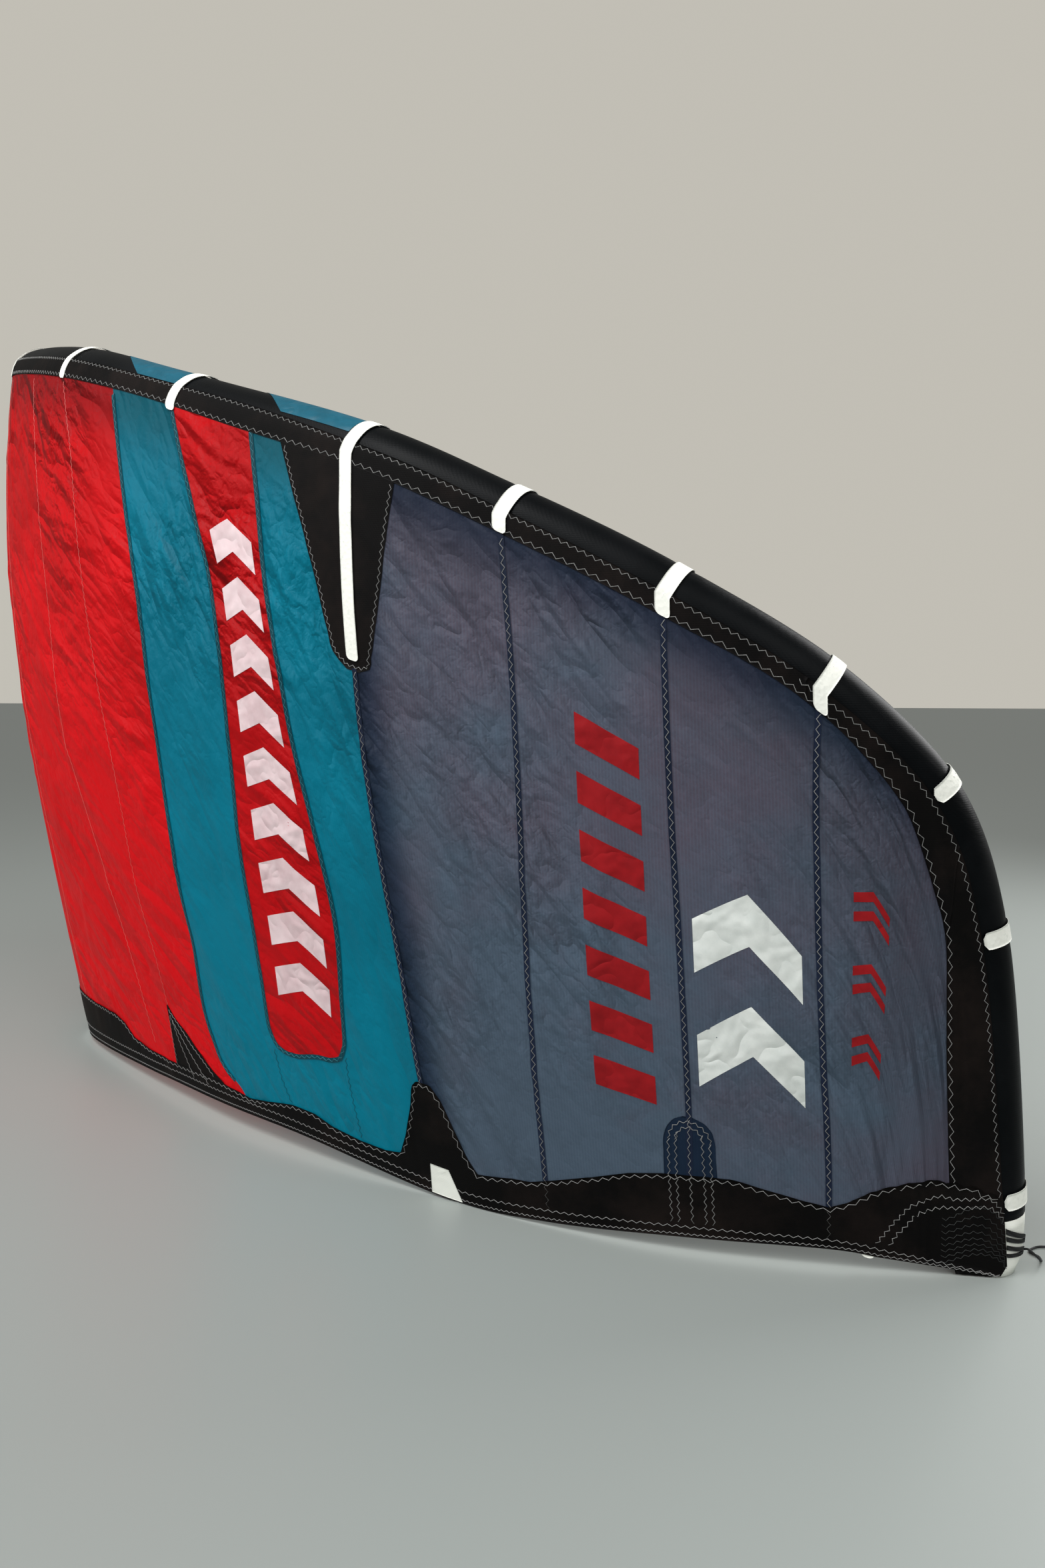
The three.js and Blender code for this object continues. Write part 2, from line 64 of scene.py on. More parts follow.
# The pigtail is a short braided polyester line, 3.4 mm thick. It leaves the lower webbing on
# the near tip, falls to the floor and lies in a loose S up to its stopper knot.
TO_ORIGIN = -0.820475  # the y that moves part.mjs's own points to the row frame, in metres
LINE_DIAMETER = 0.0034
LINE_ROUTE = [  # millimetres, as in part.mjs
    (1288.8, 1814.5, 31.1), (1291.8, 1820.7, 31.5), (1284, 1840, 14), (1275, 1847, 5.5),
    (1266, 1852, 2.2), (1255, 1853, 2.1), (1248, 1849, 2.1), (1241, 1846, 2.1),
    (1234, 1848, 2.1), (1228, 1856, 2.1), (1223, 1866, 2.1), (1223, 1879, 2.1),
    (1228, 1893, 2.1), (1236, 1908, 2.1), (1241, 1925, 2.1), (1240, 1945, 2.1),
]
LINE_SIDES = 10
LINE_STEP = 0.003
BRAID_PITCH = 0.00848  # the real one is about 3 mm, drawn coarser so that it shows
KNOT_TURNS = 2
KNOT_POINTS = 40
KNOT_RADIUS = 0.00238
KNOT_SWAY = 0.00102
KNOT_LINE = LINE_DIAMETER / 2.4  # the line's radius in the knot, where it is pulled tight
WAVE_REPEAT = math.pi / 10  # a wave texture of scale 1 repeats after this length


def linear(code):
    """An sRGB colour such as "c8202a" as linear red, green, blue and alpha."""
    parts = [int(code[i : i + 2], 16) / 255 for i in (0, 2, 4)]
    return [p / 12.92 if p <= 0.04045 else ((p + 0.055) / 1.055) ** 2.4 for p in parts] + [1]


def add(tree, kind, inputs=None, **settings):
    """A node with its settings, and each input set to a value or linked from a socket."""
    made = tree.nodes.new("ShaderNode" + kind)
    for name, value in settings.items():
        setattr(made, name, value)
    for name, value in (inputs or {}).items():
        if isinstance(value, bpy.types.NodeSocket):
            tree.links.new(value, made.inputs[name])
        else:
            made.inputs[name].default_value = value
    return made


def start_material(name):
    material = bpy.data.materials.new(name)
    material.use_nodes = True
    material.node_tree.nodes.clear()
    return material, material.node_tree


def finish_material(tree, shader):
    add(tree, "OutputMaterial", {"Surface": shader})


def unit(vectors):
    return vectors / np.maximum(np.linalg.norm(vectors, axis=-1, keepdims=True), 1e-12)


def spline(points, step):
    """Points a step apart along one smooth curve through the given ones."""
    points = np.asarray(points, float)
    ends = np.vstack([2 * points[0] - points[1], points, 2 * points[-1] - points[-2]])
    dense = []
    for a, b, c, d in zip(ends, ends[1:], ends[2:], ends[3:]):
        w = np.linspace(0, 1, 40, endpoint=False)[:, None]
        low, high = (c - a) / 2, (d - b) / 2
        dense.append(b + low * w + (3 * (c - b) - 2 * low - high) * w**2
                     + (2 * (b - c) + low + high) * w**3)
    dense = np.vstack([*dense, points[-1:]])
    run = np.concatenate([[0], np.cumsum(np.linalg.norm(np.diff(dense, axis=0), axis=1))])
    places = np.linspace(0, run[-1], max(int(round(run[-1] / step)), 2) + 1)
    return np.column_stack([np.interp(places, run, dense[:, i]) for i in range(3)])


def make_piece(name, points, faces, material, uv=None):
    """A smooth mesh piece that rides on the kite. uv is a place on the cloth for each point."""
    mesh = bpy.data.meshes.new(name)
    mesh.from_pydata(np.asarray(points).tolist(), [], [tuple(map(int, f)) for f in faces])
    mesh.validate()
    mesh.shade_smooth()
    if uv is not None:
        corners = np.empty(len(mesh.loops), np.int32)
        mesh.loops.foreach_get("vertex_index", corners)
        layer = mesh.uv_layers.new(name="cloth")
        layer.data.foreach_set("uv", np.asarray(uv, np.float32)[corners].ravel())
    mesh.materials.append(material)
    made = bpy.data.objects.new(name, mesh)
    bpy.context.collection.objects.link(made)
    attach(made, "root")
    return made


def tube_faces(rings, sides):
    """Faces of a tube of rings with both ends closed, facing out."""
    faces = []
    for r in range(rings - 1):
        for i in range(sides):
            a, b = r * sides + i, r * sides + (i + 1) % sides
            faces.append((a, b, b + sides, a + sides))
    faces.append(tuple(range(sides - 1, -1, -1)))
    faces.append(tuple(range((rings - 1) * sides, rings * sides)))
    return faces


def round_line(path, radius, sides):
    """Rings of points round a path, without twist."""
    along = unit(np.gradient(path, axis=0))
    side = unit(np.cross(along[0], [0.3, 0.2, 1.0]))
    rings = []
    for point, ahead in zip(path, along):
        side = unit(side - ahead * np.dot(side, ahead))
        over = np.cross(ahead, side)
        turn = 2 * np.pi * np.arange(sides) / sides
        ring = np.cos(turn)[:, None] * side + np.sin(turn)[:, None] * over
        rings.append(point + radius * ring)
    return np.vstack(rings)


# Polyester braid: dull, with the light and dark of its crossing strands.
braid, tree = start_material("black polyester braid")
place = add(tree, "TexCoord").outputs["Object"]
strands = add(tree, "TexWave", {"Vector": place, "Scale": WAVE_REPEAT / BRAID_PITCH,
                              "Distortion": 1.5}, bands_direction="DIAGONAL")
tone = add(tree, "MixRGB", {"Fac": strands.outputs["Fac"], "Color1": linear("0d0d0f"),
                            "Color2": linear("2a2b2e")})
raised = add(tree, "Bump", {"Height": strands.outputs["Fac"], "Strength": 0.6, "Distance": 0.0004})
cloth_shader = add(tree, "BsdfPrincipled", {"Base Color": tone.outputs["Color"], "Roughness": 0.75,
                                            "Normal": raised.outputs["Normal"]})
finish_material(tree, cloth_shader.outputs["BSDF"])

route = np.array(LINE_ROUTE) / 1000 + [0, TO_ORIGIN, 0]
line_path = spline(route, LINE_STEP)
pigtail = make_piece("pigtail", round_line(line_path, LINE_DIAMETER / 2, LINE_SIDES),
                     tube_faces(len(line_path), LINE_SIDES), braid)
knot_low, knot_high = (np.array(corner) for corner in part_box("pigtail_knot"))
knot_middle = (knot_low + knot_high) / 2
turn = np.linspace(0, 2 * np.pi * KNOT_TURNS, KNOT_POINTS)
wound = np.column_stack([KNOT_RADIUS * np.cos(turn), KNOT_SWAY * np.sin(1.5 * turn),
                         KNOT_RADIUS * np.sin(turn)]) + knot_middle
knot = make_piece("pigtail_stopper", round_line(wound, KNOT_LINE, LINE_SIDES),
                  tube_faces(len(wound), LINE_SIDES), braid)
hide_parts("pigtail_knot")
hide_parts("pigtail_line")

# The canopy is sewn from panels of ripstop nylon, cut so that it bellies out between the leading
# edge and the trailing edge. Its form follows stations from the centre strut, 0, out to the end
# of the tip, 11, and a depth from 0 at the leading edge tube to 1 at the trailing edge.
STATIONS = [  # leading edge and trailing edge points, tube radius and bulge, in mm as in part.mjs
    ((0, -162, 1592), (0, 0, 6), 72, 58),
    ((180, -123, 1578), (207, 33, 13), 71, 62),
    ((590, 148, 1472), (643, 413, 32), 69, 61),
    ((838, 433, 1362), (869, 668, 32), 66, 52),
    ((1077, 780, 1233), (1061, 939, 3), 59, 42),
    ((1193, 1025, 1119), (1156, 1109, 7), 54, 31),
    ((1291, 1259, 995), (1239, 1322, 23), 52, 23),
    ((1342, 1474, 861), (1284, 1524, 28), 52, 14),
    ((1337, 1639, 711), (1294, 1599, 20), 53, 9),
    ((1325, 1719, 504), (1302, 1661, 14), 53, 6),
    ((1314, 1769, 112), (1313, 1744, 6), 48, 2),
    ((1312, 1780, 0), (1315, 1774, 2), 41, 0),
]
BULGE_LEAN = 0.8  # how far the bulge leans towards the leading edge
FOLDS = [  # long soft folds: from and to as station and depth, height in mm, half width
    ((1.3, 0.3), (2.1, 0.8), 9, 0.16),
    ((1.1, 0.55), (1.75, 0.97), 8, 0.14),
    ((2.15, 0.45), (2.75, 0.95), 7, 0.15),
    ((2.3, 0.12), (2.7, 0.5), 5, 0.16),
    ((3.35, 0.5), (3.75, 0.95), 6, 0.15),
    ((4.25, 0.2), (4.7, 0.75), 5, 0.17),
    ((5.7, 0.25), (5.3, 0.85), 5, 0.17),
    ((6.3, 0.15), (6.75, 0.8), 5, 0.17),
    ((7.2, 0.2), (7.9, 0.75), 4, 0.3),
]
CREASES = [  # groups of small creases: station from and to, how many, height and width in mm,
    # length in m, lean in degrees from straight down, and how much the lean varies
    (0.0, 2.5, 80, 3.4, 13, 0.34, -14, 22),
    (0.0, 2.6, 130, 1.7, 9, 0.12, 20, 80),
    (2.5, 4.0, 46, 2.2, 12, 0.24, -22, 26),
    (2.6, 4.0, 50, 1.3, 8, 0.10, 30, 80),
    (4.0, 9.0, 70, 3.0, 13, 0.36, 46, 12),
    (4.0, 9.5, 70, 1.4, 9, 0.14, 40, 45),
]
CLOTH_MIDDLE = 0.0007  # the canopy lies this far out of the solid panel's inner face
SLOPE_STEP = 0.01
CREASES_FROM = 0.03  # creases are placed at least this share of the depth from both edges
FADE_AT_TUBE = 0.03  # and fade out over these shares of it at the tube and at the hem
FADE_AT_HEM = 0.02


def ends_added(index):
    """One edge's points in the row frame, with one more past each end for the curve to follow."""
    points = np.array([row[index] for row in STATIONS], float) / 1000 + [0, TO_ORIGIN, 0]
    points = np.vstack([points[1] * [-1, 1, 1], points])
    return np.vstack([2 * points[0] - points[1], points, 2 * points[-1] - points[-2]])


LEADING, TRAILING = ends_added(0), ends_added(1)


def on_edge(edge, q, slope=False):
    """A point of the leading or trailing edge at station q, or its slope there."""
    shifted = np.asarray(q, float) + 1
    i = np.clip(np.floor(shifted).astype(int), 0, len(edge) - 4)
    w = (shifted - i)[..., None]
    a, b, c, d = edge[i], edge[i + 1], edge[i + 2], edge[i + 3]
    low, high = (c - a) / 2, (d - b) / 2
    square, cube = 3 * (c - b) - 2 * low - high, 2 * (b - c) + low + high
    if slope:
        return low + 2 * square * w + 3 * cube * w**2
    return b + low * w + square * w**2 + cube * w**3


def at_station(index, q):
    return np.interp(q, range(len(STATIONS)), [row[index] / 1000 for row in STATIONS])


def outward(q):
    """The level direction square off the kite at station q, away from its hollow side."""
    level = unit(on_edge(LEADING, q, True)) + unit(on_edge(TRAILING, q, True))
    level = unit(level * [1, 1, 0])
    return np.stack([level[..., 1], -level[..., 0], 0 * level[..., 0]], -1)


def fold_height(q, depth):
    """How far the long soft folds stand out there."""
    height = 0 * q
    for start, end, tall, wide in FOLDS:
        run = (end[0] - start[0], end[1] - start[1])
        off = (q - start[0], depth - start[1])
        length = run[0] ** 2 + run[1] ** 2
        share = (off[0] * run[0] + off[1] * run[1]) / length
        across = np.abs(off[0] * run[1] - off[1] * run[0]) / math.sqrt(length)
        rise = tall / 1000 * np.sin(np.pi * np.clip(share, 0, 1))
        rise = rise * np.exp(-4 * (across / wide) ** 2)
        height = height + np.where((share > 0) & (share < 1), rise, 0)
    return height


ALONG_Q = np.linspace(0, len(STATIONS) - 1, 400)
middle = (on_edge(LEADING, ALONG_Q) + on_edge(TRAILING, ALONG_Q)) / 2
ALONG_M = np.concatenate([[0], np.cumsum(np.linalg.norm(np.diff(middle, axis=0), axis=1))])


def laid_flat(q, depth):
    """Metres along the kite and metres down the cloth, as if it lay flat."""
    tall = np.linalg.norm(on_edge(LEADING, q) - on_edge(TRAILING, q), axis=-1)
    return np.interp(q, ALONG_Q, ALONG_M), depth * tall


rng = np.random.default_rng(7)
creases = []
for first, last, count, tall, wide, long, lean, spread in CREASES:
    for _ in range(count):
        q, depth = rng.uniform(first, last), rng.uniform(CREASES_FROM, 1 - CREASES_FROM)
        angle = math.radians(lean + rng.uniform(-spread, spread))
        length = long * rng.uniform(0.5, 1.3)
        creases.append((*laid_flat(np.array(q), np.array(depth)), angle, length,
                        tall / 1000 * rng.uniform(-0.7, 1.0), wide / 1000 * rng.uniform(0.7, 1.5),
                        rng.uniform(-0.35, 0.35)))


def crease_height(q, depth):
    """How far the small creases stand out or in there."""
    x, y = laid_flat(q, depth)
    height = 0 * x
    for crease_x, crease_y, angle, length, tall, wide, bow in creases:
        down = (x - crease_x) * math.sin(angle) + (y - crease_y) * math.cos(angle)
        side = (x - crease_x) * math.cos(angle) - (y - crease_y) * math.sin(angle)
        share = 2 * down / length
        near = np.abs(share) < 1
        side = side - bow * length * (share**2 - 1) * 0.25
        rise = tall * np.cos(np.pi / 2 * share) ** 2 * np.exp(-((side / wide) ** 2))
        height = height + np.where(near, rise, 0)
    edge = np.clip(depth / FADE_AT_TUBE, 0, 1) * np.clip((1 - depth) / FADE_AT_HEM, 0, 1)
    return height * edge


def cloth(q, depth, lift=0.0, creased=True):
    """A point of the cloth, lifted off it by some metres."""
    q, depth = np.broadcast_arrays(np.asarray(q, float), np.asarray(depth, float))
    belly = 4 * depth * (1 - depth) * (1 + BULGE_LEAN * (0.5 - depth))
    out = at_station(3, q) * belly + fold_height(q, depth) + CLOTH_MIDDLE + lift
    if creased:
        out = out + crease_height(q, depth)
    flat = on_edge(LEADING, q) * (1 - depth)[..., None] + on_edge(TRAILING, q) * depth[..., None]
    return flat + outward(q) * out[..., None]


def cloth_normal(q, depth):
    """The way the smooth cloth faces, on its outer side."""
    low, high = np.maximum(depth - SLOPE_STEP, 0), np.minimum(depth + SLOPE_STEP, 1)
    down = cloth(q, high, creased=False) - cloth(q, low, creased=False)
    over = cloth(q + SLOPE_STEP, depth, creased=False) - cloth(q - SLOPE_STEP, depth, creased=False)
    normal = unit(np.cross(over, down))
    facing = np.sum(normal * outward(q), -1, keepdims=True)
    return np.where(facing < 0, -normal, normal)


def smooth(table, x):
    """A smooth curve through a table of (x, value) rows, level past its ends."""
    rows = np.array(table, float)
    x = np.clip(x, rows[0, 0], rows[-1, 0])
    slopes = np.gradient(rows[:, 1], rows[:, 0])
    i = np.clip(np.searchsorted(rows[:, 0], x) - 1, 0, len(rows) - 2)
    width = rows[i + 1, 0] - rows[i, 0]
    w = (x - rows[i, 0]) / width
    ease = rows[i, 1] + (rows[i + 1, 1] - rows[i, 1]) * w * w * (3 - 2 * w)
    return ease + w * (1 - w) * width * ((1 - w) * slopes[i] - w * slopes[i + 1])


def grid_faces(rows, columns, offset=0, flipped=False):
    faces = []
    for r in range(rows - 1):
        for c in range(columns - 1):
            a = offset + r * columns + c
            face = (a, a + columns, a + columns + 1, a + 1)
            faces.append(face[::-1] if flipped else face)
    return faces


def rim_faces(rows, columns, offset):
    """Faces that join the rims of two grids, the second one starting at offset."""
    rim = [c for c in range(columns)] + [r * columns + columns - 1 for r in range(1, rows)]
    rim += [(rows - 1) * columns + c for c in range(columns - 2, -1, -1)]
    rim += [r * columns for r in range(rows - 2, 0, -1)]
    return [(a, b, b + offset, a + offset) for a, b in zip(rim, rim[1:] + rim[:1])]


def on_side(points, side):
    """Every half is worked out at +X, and the far one is its mirror image."""
    return points * [1 if side == "near" else -1, 1, 1]


def make_sheet(name, outer, side, material, uv, thick=0.0):
    """A sheet from a grid of points of its outer face, closed to a thickness if it has one."""
    rows, columns = outer.shape[:2]
    outer = on_side(outer, side)
    mirrored = side == "far"
    points, faces = outer.reshape(-1, 3), grid_faces(rows, columns, 0, mirrored)
    uv = np.stack(uv, -1).reshape(-1, 2)
    if thick:
        over = np.gradient(outer, axis=1)
        down = np.gradient(outer, axis=0)
        normal = unit(np.cross(down, over)) * (-1 if mirrored else 1)
        inner = (outer - normal * thick).reshape(-1, 3)
        faces += grid_faces(rows, columns, rows * columns, not mirrored)
        faces += [f if mirrored else f[::-1] for f in rim_faces(rows, columns, rows * columns)]
        points, uv = np.vstack([points, inner]), np.vstack([uv, uv])
    return make_piece(name, points, faces, material, uv)


def region(left, right, top, bottom, columns, rows):
    """Stations and depths of a grid between two seams and two edges. Each is a table or value."""
    s, t = np.meshgrid(np.linspace(0, 1, columns), np.linspace(0, 1, rows))
    high = smooth(top, s) if isinstance(top, list) else top + 0 * s
    low = smooth(bottom, s) if isinstance(bottom, list) else bottom + 0 * s
    depth = high + (low - high) * t
    start = smooth(left, depth) if isinstance(left, list) else left + 0 * depth
    end = smooth(right, depth) if isinstance(right, list) else right + 0 * depth
    return start + (end - start) * s, depth


def folded_noise(tree, vector, scale):
    """Noise folded over at its middle, so that it rises from sharp creases."""
    noise = add(tree, "TexNoise", {"Vector": vector, "Scale": scale, "Detail": 2.0,
                                   "Roughness": 0.5, "Distortion": 0.25})
    middle = add(tree, "Math", {0: noise.outputs["Fac"], 1: 0.5}, operation="SUBTRACT")
    return add(tree, "Math", {0: middle.outputs["Value"]}, operation="ABSOLUTE").outputs["Value"]


def ripstop(name, colour, upper_colour, through, line_share, roughness, top, low, lean,
            shade_colour=None):
    """Ripstop nylon: a plain weave with a thicker thread every few millimetres, which gives fine
    lines. It lets some light through, and its tone changes a little down the cloth. Packing
    leaves sharp creases, which lean by lean degrees and are as deep as top near the leading edge
    and as low below it. Where a tube or strut lies behind the cloth and blocks the light that
    passes through, shade is painted into its colour: it is mixed towards a darker colour."""
    material, tree = start_material(name)
    flat = add(tree, "UVMap", uv_map="cloth").outputs["UV"]
    at = add(tree, "SeparateXYZ", {"Vector": flat})
    place = add(tree, "TexCoord").outputs["Object"]
    lines = []
    for axis, pitch in (("X", RIPSTOP_PITCH), ("Y", 2 * RIPSTOP_PITCH)):
        fold = add(tree, "Math", {0: at.outputs[axis], 1: pitch / 2}, operation="PINGPONG")
        lines.append(add(tree, "MapRange", {"Value": fold.outputs["Value"], "From Min": 0.0,
                                            "From Max": pitch * RIPSTOP_LINE, "To Min": 1.0,
                                            "To Max": 0.0}))
    fainter = add(tree, "Math", {0: lines[1].outputs["Result"], 1: 0.35}, operation="MULTIPLY")
    grid = add(tree, "Math", {0: lines[0].outputs["Result"], 1: fainter.outputs["Value"]},
               operation="MAXIMUM")
    blotch = add(tree, "TexNoise", {"Vector": place, "Scale": 2.6, "Detail": 6.0, "Roughness": 0.6})
    lower = add(tree, "MapRange", {"Value": at.outputs["Y"], "From Min": 0.1, "From Max": 0.9,
                                   "To Min": -0.1, "To Max": 0.1})
    uneven_tone = add(tree, "Math", {0: blotch.outputs["Fac"], 1: lower.outputs["Result"]},
                      operation="ADD")
    spread = add(tree, "MapRange", {"Value": uneven_tone.outputs["Value"], "From Min": 0.38,
                                    "From Max": 0.62})
    base = add(tree, "MixRGB", {"Fac": spread.outputs["Result"], "Color1": linear(upper_colour),
                                "Color2": linear(colour)})
    lined = add(tree, "Math", {0: grid.outputs["Value"], 1: line_share}, operation="MULTIPLY")
    light = [min(1, c * 1.55 + 0.003) for c in linear(colour)[:3]] + [1]
    tone = add(tree, "MixRGB", {"Fac": lined.outputs["Value"], "Color1": base.outputs["Color"],
                                "Color2": light})
    # Painted shade: where a tube or strut lies behind the cloth, the colour is mixed towards a
    # darker one for the light that they block.
    if shade_colour:
        shaded = add(tree, "Attribute", attribute_name="painted_shade")
        tone = add(tree, "MixRGB", {"Fac": shaded.outputs["Fac"], "Color1": tone.outputs["Color"],
                                    "Color2": linear(shade_colour)})
    across = add(tree, "SeparateXYZ", {"Vector": place})
    third = add(tree, "Math", {0: across.outputs["X"], 1: 0.3}, operation="MULTIPLY")
    sheet = add(tree, "CombineXYZ", {"X": at.outputs["X"], "Y": at.outputs["Y"],
                                     "Z": third.outputs["Value"]})
    turned = add(tree, "Mapping", {"Vector": sheet.outputs["Vector"],
                                   "Rotation": (0, 0, math.radians(lean))})
    long = add(tree, "Mapping", {"Vector": turned.outputs["Vector"], "Scale": (1.0, 0.3, 1.0)})
    short = add(tree, "Mapping", {"Vector": turned.outputs["Vector"], "Scale": (1.0, 0.7, 1.0),
                                  "Rotation": (0, 0, 0.9)})
    broad = folded_noise(tree, long.outputs["Vector"], 9.0)
    fine = folded_noise(tree, short.outputs["Vector"], 24.0)
    finest = folded_noise(tree, place, 60.0)
    fine = add(tree, "Math", {0: fine, 1: 0.22}, operation="MULTIPLY")
    finest = add(tree, "Math", {0: finest, 1: 0.04, 2: fine.outputs["Value"]},
                 operation="MULTIPLY_ADD")
    heights = add(tree, "Math", {0: broad, 1: finest.outputs["Value"]}, operation="ADD")
    upper = add(tree, "MapRange", {"Value": at.outputs["Y"], "From Min": 0.15, "From Max": 0.8,
                                   "To Min": top, "To Max": low})
    patches = add(tree, "TexNoise", {"Vector": place, "Scale": 3.5, "Detail": 2.0})
    uneven = add(tree, "MapRange", {"Value": patches.outputs["Fac"], "From Min": 0.35,
                                    "From Max": 0.65, "To Min": 0.35, "To Max": 1.3})
    strength = add(tree, "Math", {0: upper.outputs["Result"], 1: uneven.outputs["Result"]},
                   operation="MULTIPLY")
    creased = add(tree, "Bump", {"Height": heights.outputs["Value"],
                                 "Strength": strength.outputs["Value"],
                                 "Distance": CREASE_DEPTH})
    raised = add(tree, "Bump", {"Height": grid.outputs["Value"], "Strength": 0.25,
                                "Distance": 0.0002, "Normal": creased.outputs["Normal"]})
    front = add(tree, "BsdfPrincipled", {"Base Color": tone.outputs["Color"],
                                         "Roughness": roughness, "IOR": 1.53,
                                         "Specular IOR Level": 0.1,
                                         "Normal": raised.outputs["Normal"]})
    passed = add(tree, "BsdfTranslucent", {"Color": tone.outputs["Color"],
                                           "Normal": creased.outputs["Normal"]})
    mixed = add(tree, "MixShader", {"Fac": through, 1: front.outputs["BSDF"],
                                    2: passed.outputs["BSDF"]})
    finish_material(tree, mixed.outputs["Shader"])
    return material


RIPSTOP_PITCH = 0.005  # the real thread spacing is 3 mm, drawn coarser so that it shows
RIPSTOP_LINE = 0.28  # half width of a thick thread, as a share of the pitch
CREASE_DEPTH = 0.13  # metres, scaled down by the noise's own height and each cloth's strength
# The last colour of each cloth is its painted shade, where a tube or strut lies behind it.
red_ripstop = ripstop("red ripstop nylon", "d60d16", "be0910", through=0.3, line_share=0.05,
                      roughness=0.48, top=0.9, low=0.45, lean=68, shade_colour="8e0d13")
teal_ripstop = ripstop("teal ripstop nylon", "00768e", "006a80", through=0.22, line_share=0.06,
                       roughness=0.48, top=0.75, low=0.25, lean=20, shade_colour="00515f")
grey_ripstop = ripstop("slate ripstop nylon", "4c5b6b", "55515f", through=0.38,
                       line_share=0.24, roughness=0.48, top=0.75, low=0.65, lean=48,
                       shade_colour="13243a")

CENTRE = 0.0
RED_EDGE = [(0, 2.53), (0.085, 2.57), (0.2, 2.6), (0.32, 2.61), (0.41, 2.58), (0.57, 2.48),
            (0.74, 2.40), (0.9, 2.29), (0.94, 2.33), (0.966, 2.45), (1, 2.47)]
INSERT_LEFT = [(0, 3.0), (0.065, 3.06), (0.107, 3.1), (0.16, 3.14), (0.21, 3.18), (0.27, 3.19),
               (0.37, 3.17), (0.486, 3.12), (0.585, 3.06), (0.7, 3.01), (0.77, 2.97),
               (0.87, 2.91), (0.94, 2.92), (1, 3.0)]
STRUT_SEAM = [(0, 4.0), (0.28, 3.965), (0.47, 3.96), (0.66, 3.975), (0.84, 3.965), (1, 4.0)]
RIB_1 = [(0, 5.0), (0.094, 5.03), (0.17, 5.05), (0.305, 5.06), (0.72, 5.01), (1, 5.0)]
RIB_2 = [(0, 6.0), (0.22, 6.01), (0.67, 6.04), (0.8, 6.04), (1, 6.0)]
RIB_3 = [(0, 7.0), (0.13, 6.96), (0.35, 6.95), (0.63, 6.97), (0.86, 7.01), (1, 7.0)]
TIP_STOP = 10.83  # the station where the cloth ends
SHADE_BY_TUBE = 0.085  # metres from the leading edge over which shade is painted on the cloth, for the light that the tube behind it blocks
SHADE_BY_STRUT = 0.055  # and metres from the strut seam
# How much of the painted shade colour the cloth takes where that shade is deepest.
SHADE_MOST = 0.85
PANELS = [  # piece, left seam, right seam, material, slot, solid panel that it stands for, grid
    ("red_panel", CENTRE, RED_EDGE, red_ripstop, "red_canopy", 1, 170, 230),
    ("teal_inner_panel", RED_EDGE, INSERT_LEFT, teal_ripstop, "teal_canopy", 2, 36, 210),
    ("teal_outer_panel", INSERT_LEFT, STRUT_SEAM, teal_ripstop, "teal_canopy", 3, 66, 200),
    ("grey_panel_1", STRUT_SEAM, RIB_1, grey_ripstop, "grey_canopy", 4, 40, 180),
    ("grey_panel_2", RIB_1, RIB_2, grey_ripstop, "grey_canopy", 5, 40, 160),
    ("grey_panel_3", RIB_2, RIB_3, grey_ripstop, "grey_canopy", 6, 40, 140),
    ("grey_panel_4", RIB_3, TIP_STOP, grey_ripstop, "grey_canopy", 7, 80, 110),
]
trim = {}  # what is sewn on each panel, by piece name
for side in ("near", "far"):
    for name, left, right, material, slot, number, columns, rows in PANELS:
        q, depth = region(left, right, 0.0, 1.0, columns, rows)
        panel = make_sheet(f"{name}_{side}", cloth(q, depth), side, material,
                           laid_flat(q, depth))
        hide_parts(f"canopy_{side}_{number}")
        # Painted shade, kept for each point: deepest at the leading edge and, on the slate panels,
        # at the strut seam, where the tube and strut behind the cloth block the light that passes
        # through.
        painted_shade = np.exp(-((laid_flat(q, depth)[1] / SHADE_BY_TUBE) ** 3))
        if slot == "grey_canopy":
            by_strut = laid_flat(q, depth)[0] - laid_flat(smooth(STRUT_SEAM, depth), depth)[0]
            painted_shade = np.maximum(painted_shade, np.exp(-((by_strut / SHADE_BY_STRUT) ** 3)))
        layer = panel.data.attributes.new("painted_shade", "FLOAT", "POINT")
        layer.data.foreach_set("value", (SHADE_MOST * painted_shade).astype(np.float32).ravel())
        flat = cloth(q, depth, creased=False)
        wide = np.linalg.norm(np.diff(flat, axis=1)[..., :2], axis=-1).sum(axis=1).max()
        tall = np.linalg.norm(np.diff(flat, axis=0), axis=-1).sum(axis=0).max()
        trim[panel.name] = []

# The leading edge is a tube of black polyester sailcloth, blown up hard by a bladder. It is
# joined from short tapered lengths, and each joint pinches it a little. A cap of white cloth
# makes up most of the last one and stands on the floor at the tip.
GAP = 0.0003  # metres between the tube and the cloth
JOINTS = [0, 2, 3, 4, 5, 6, 7, 8, 9, 10, 11]  # stations
TUBE_SIDES = 52
TUBE_STEP = 0.014
PINCH_DEPTH = 0.0011
PINCH_REACH = 0.016
PUCKERS = 17
PUCKER_HEIGHT = 0.0004
PUCKER_REACH = 0.028
CAP_START = 10.13  # the station where the white cap begins


def tube_frame(q):
    """Centre, outward and upward directions and radius of the leading edge tube."""
    along = unit(on_edge(LEADING, q, True))
    base = cloth(q, 0 * q, -CLOTH_MIDDLE, creased=False)
    down = unit(cloth(q, 0 * q + 0.02, -CLOTH_MIDDLE, creased=False) - base)
    out = outward(q)
    out = out - down * np.sum(out * down, -1, keepdims=True)
    out = unit(out - along * np.sum(out * along, -1, keepdims=True))
    radius = at_station(2, q)
    return base - out * (radius + GAP)[..., None], out, np.cross(out, along), radius


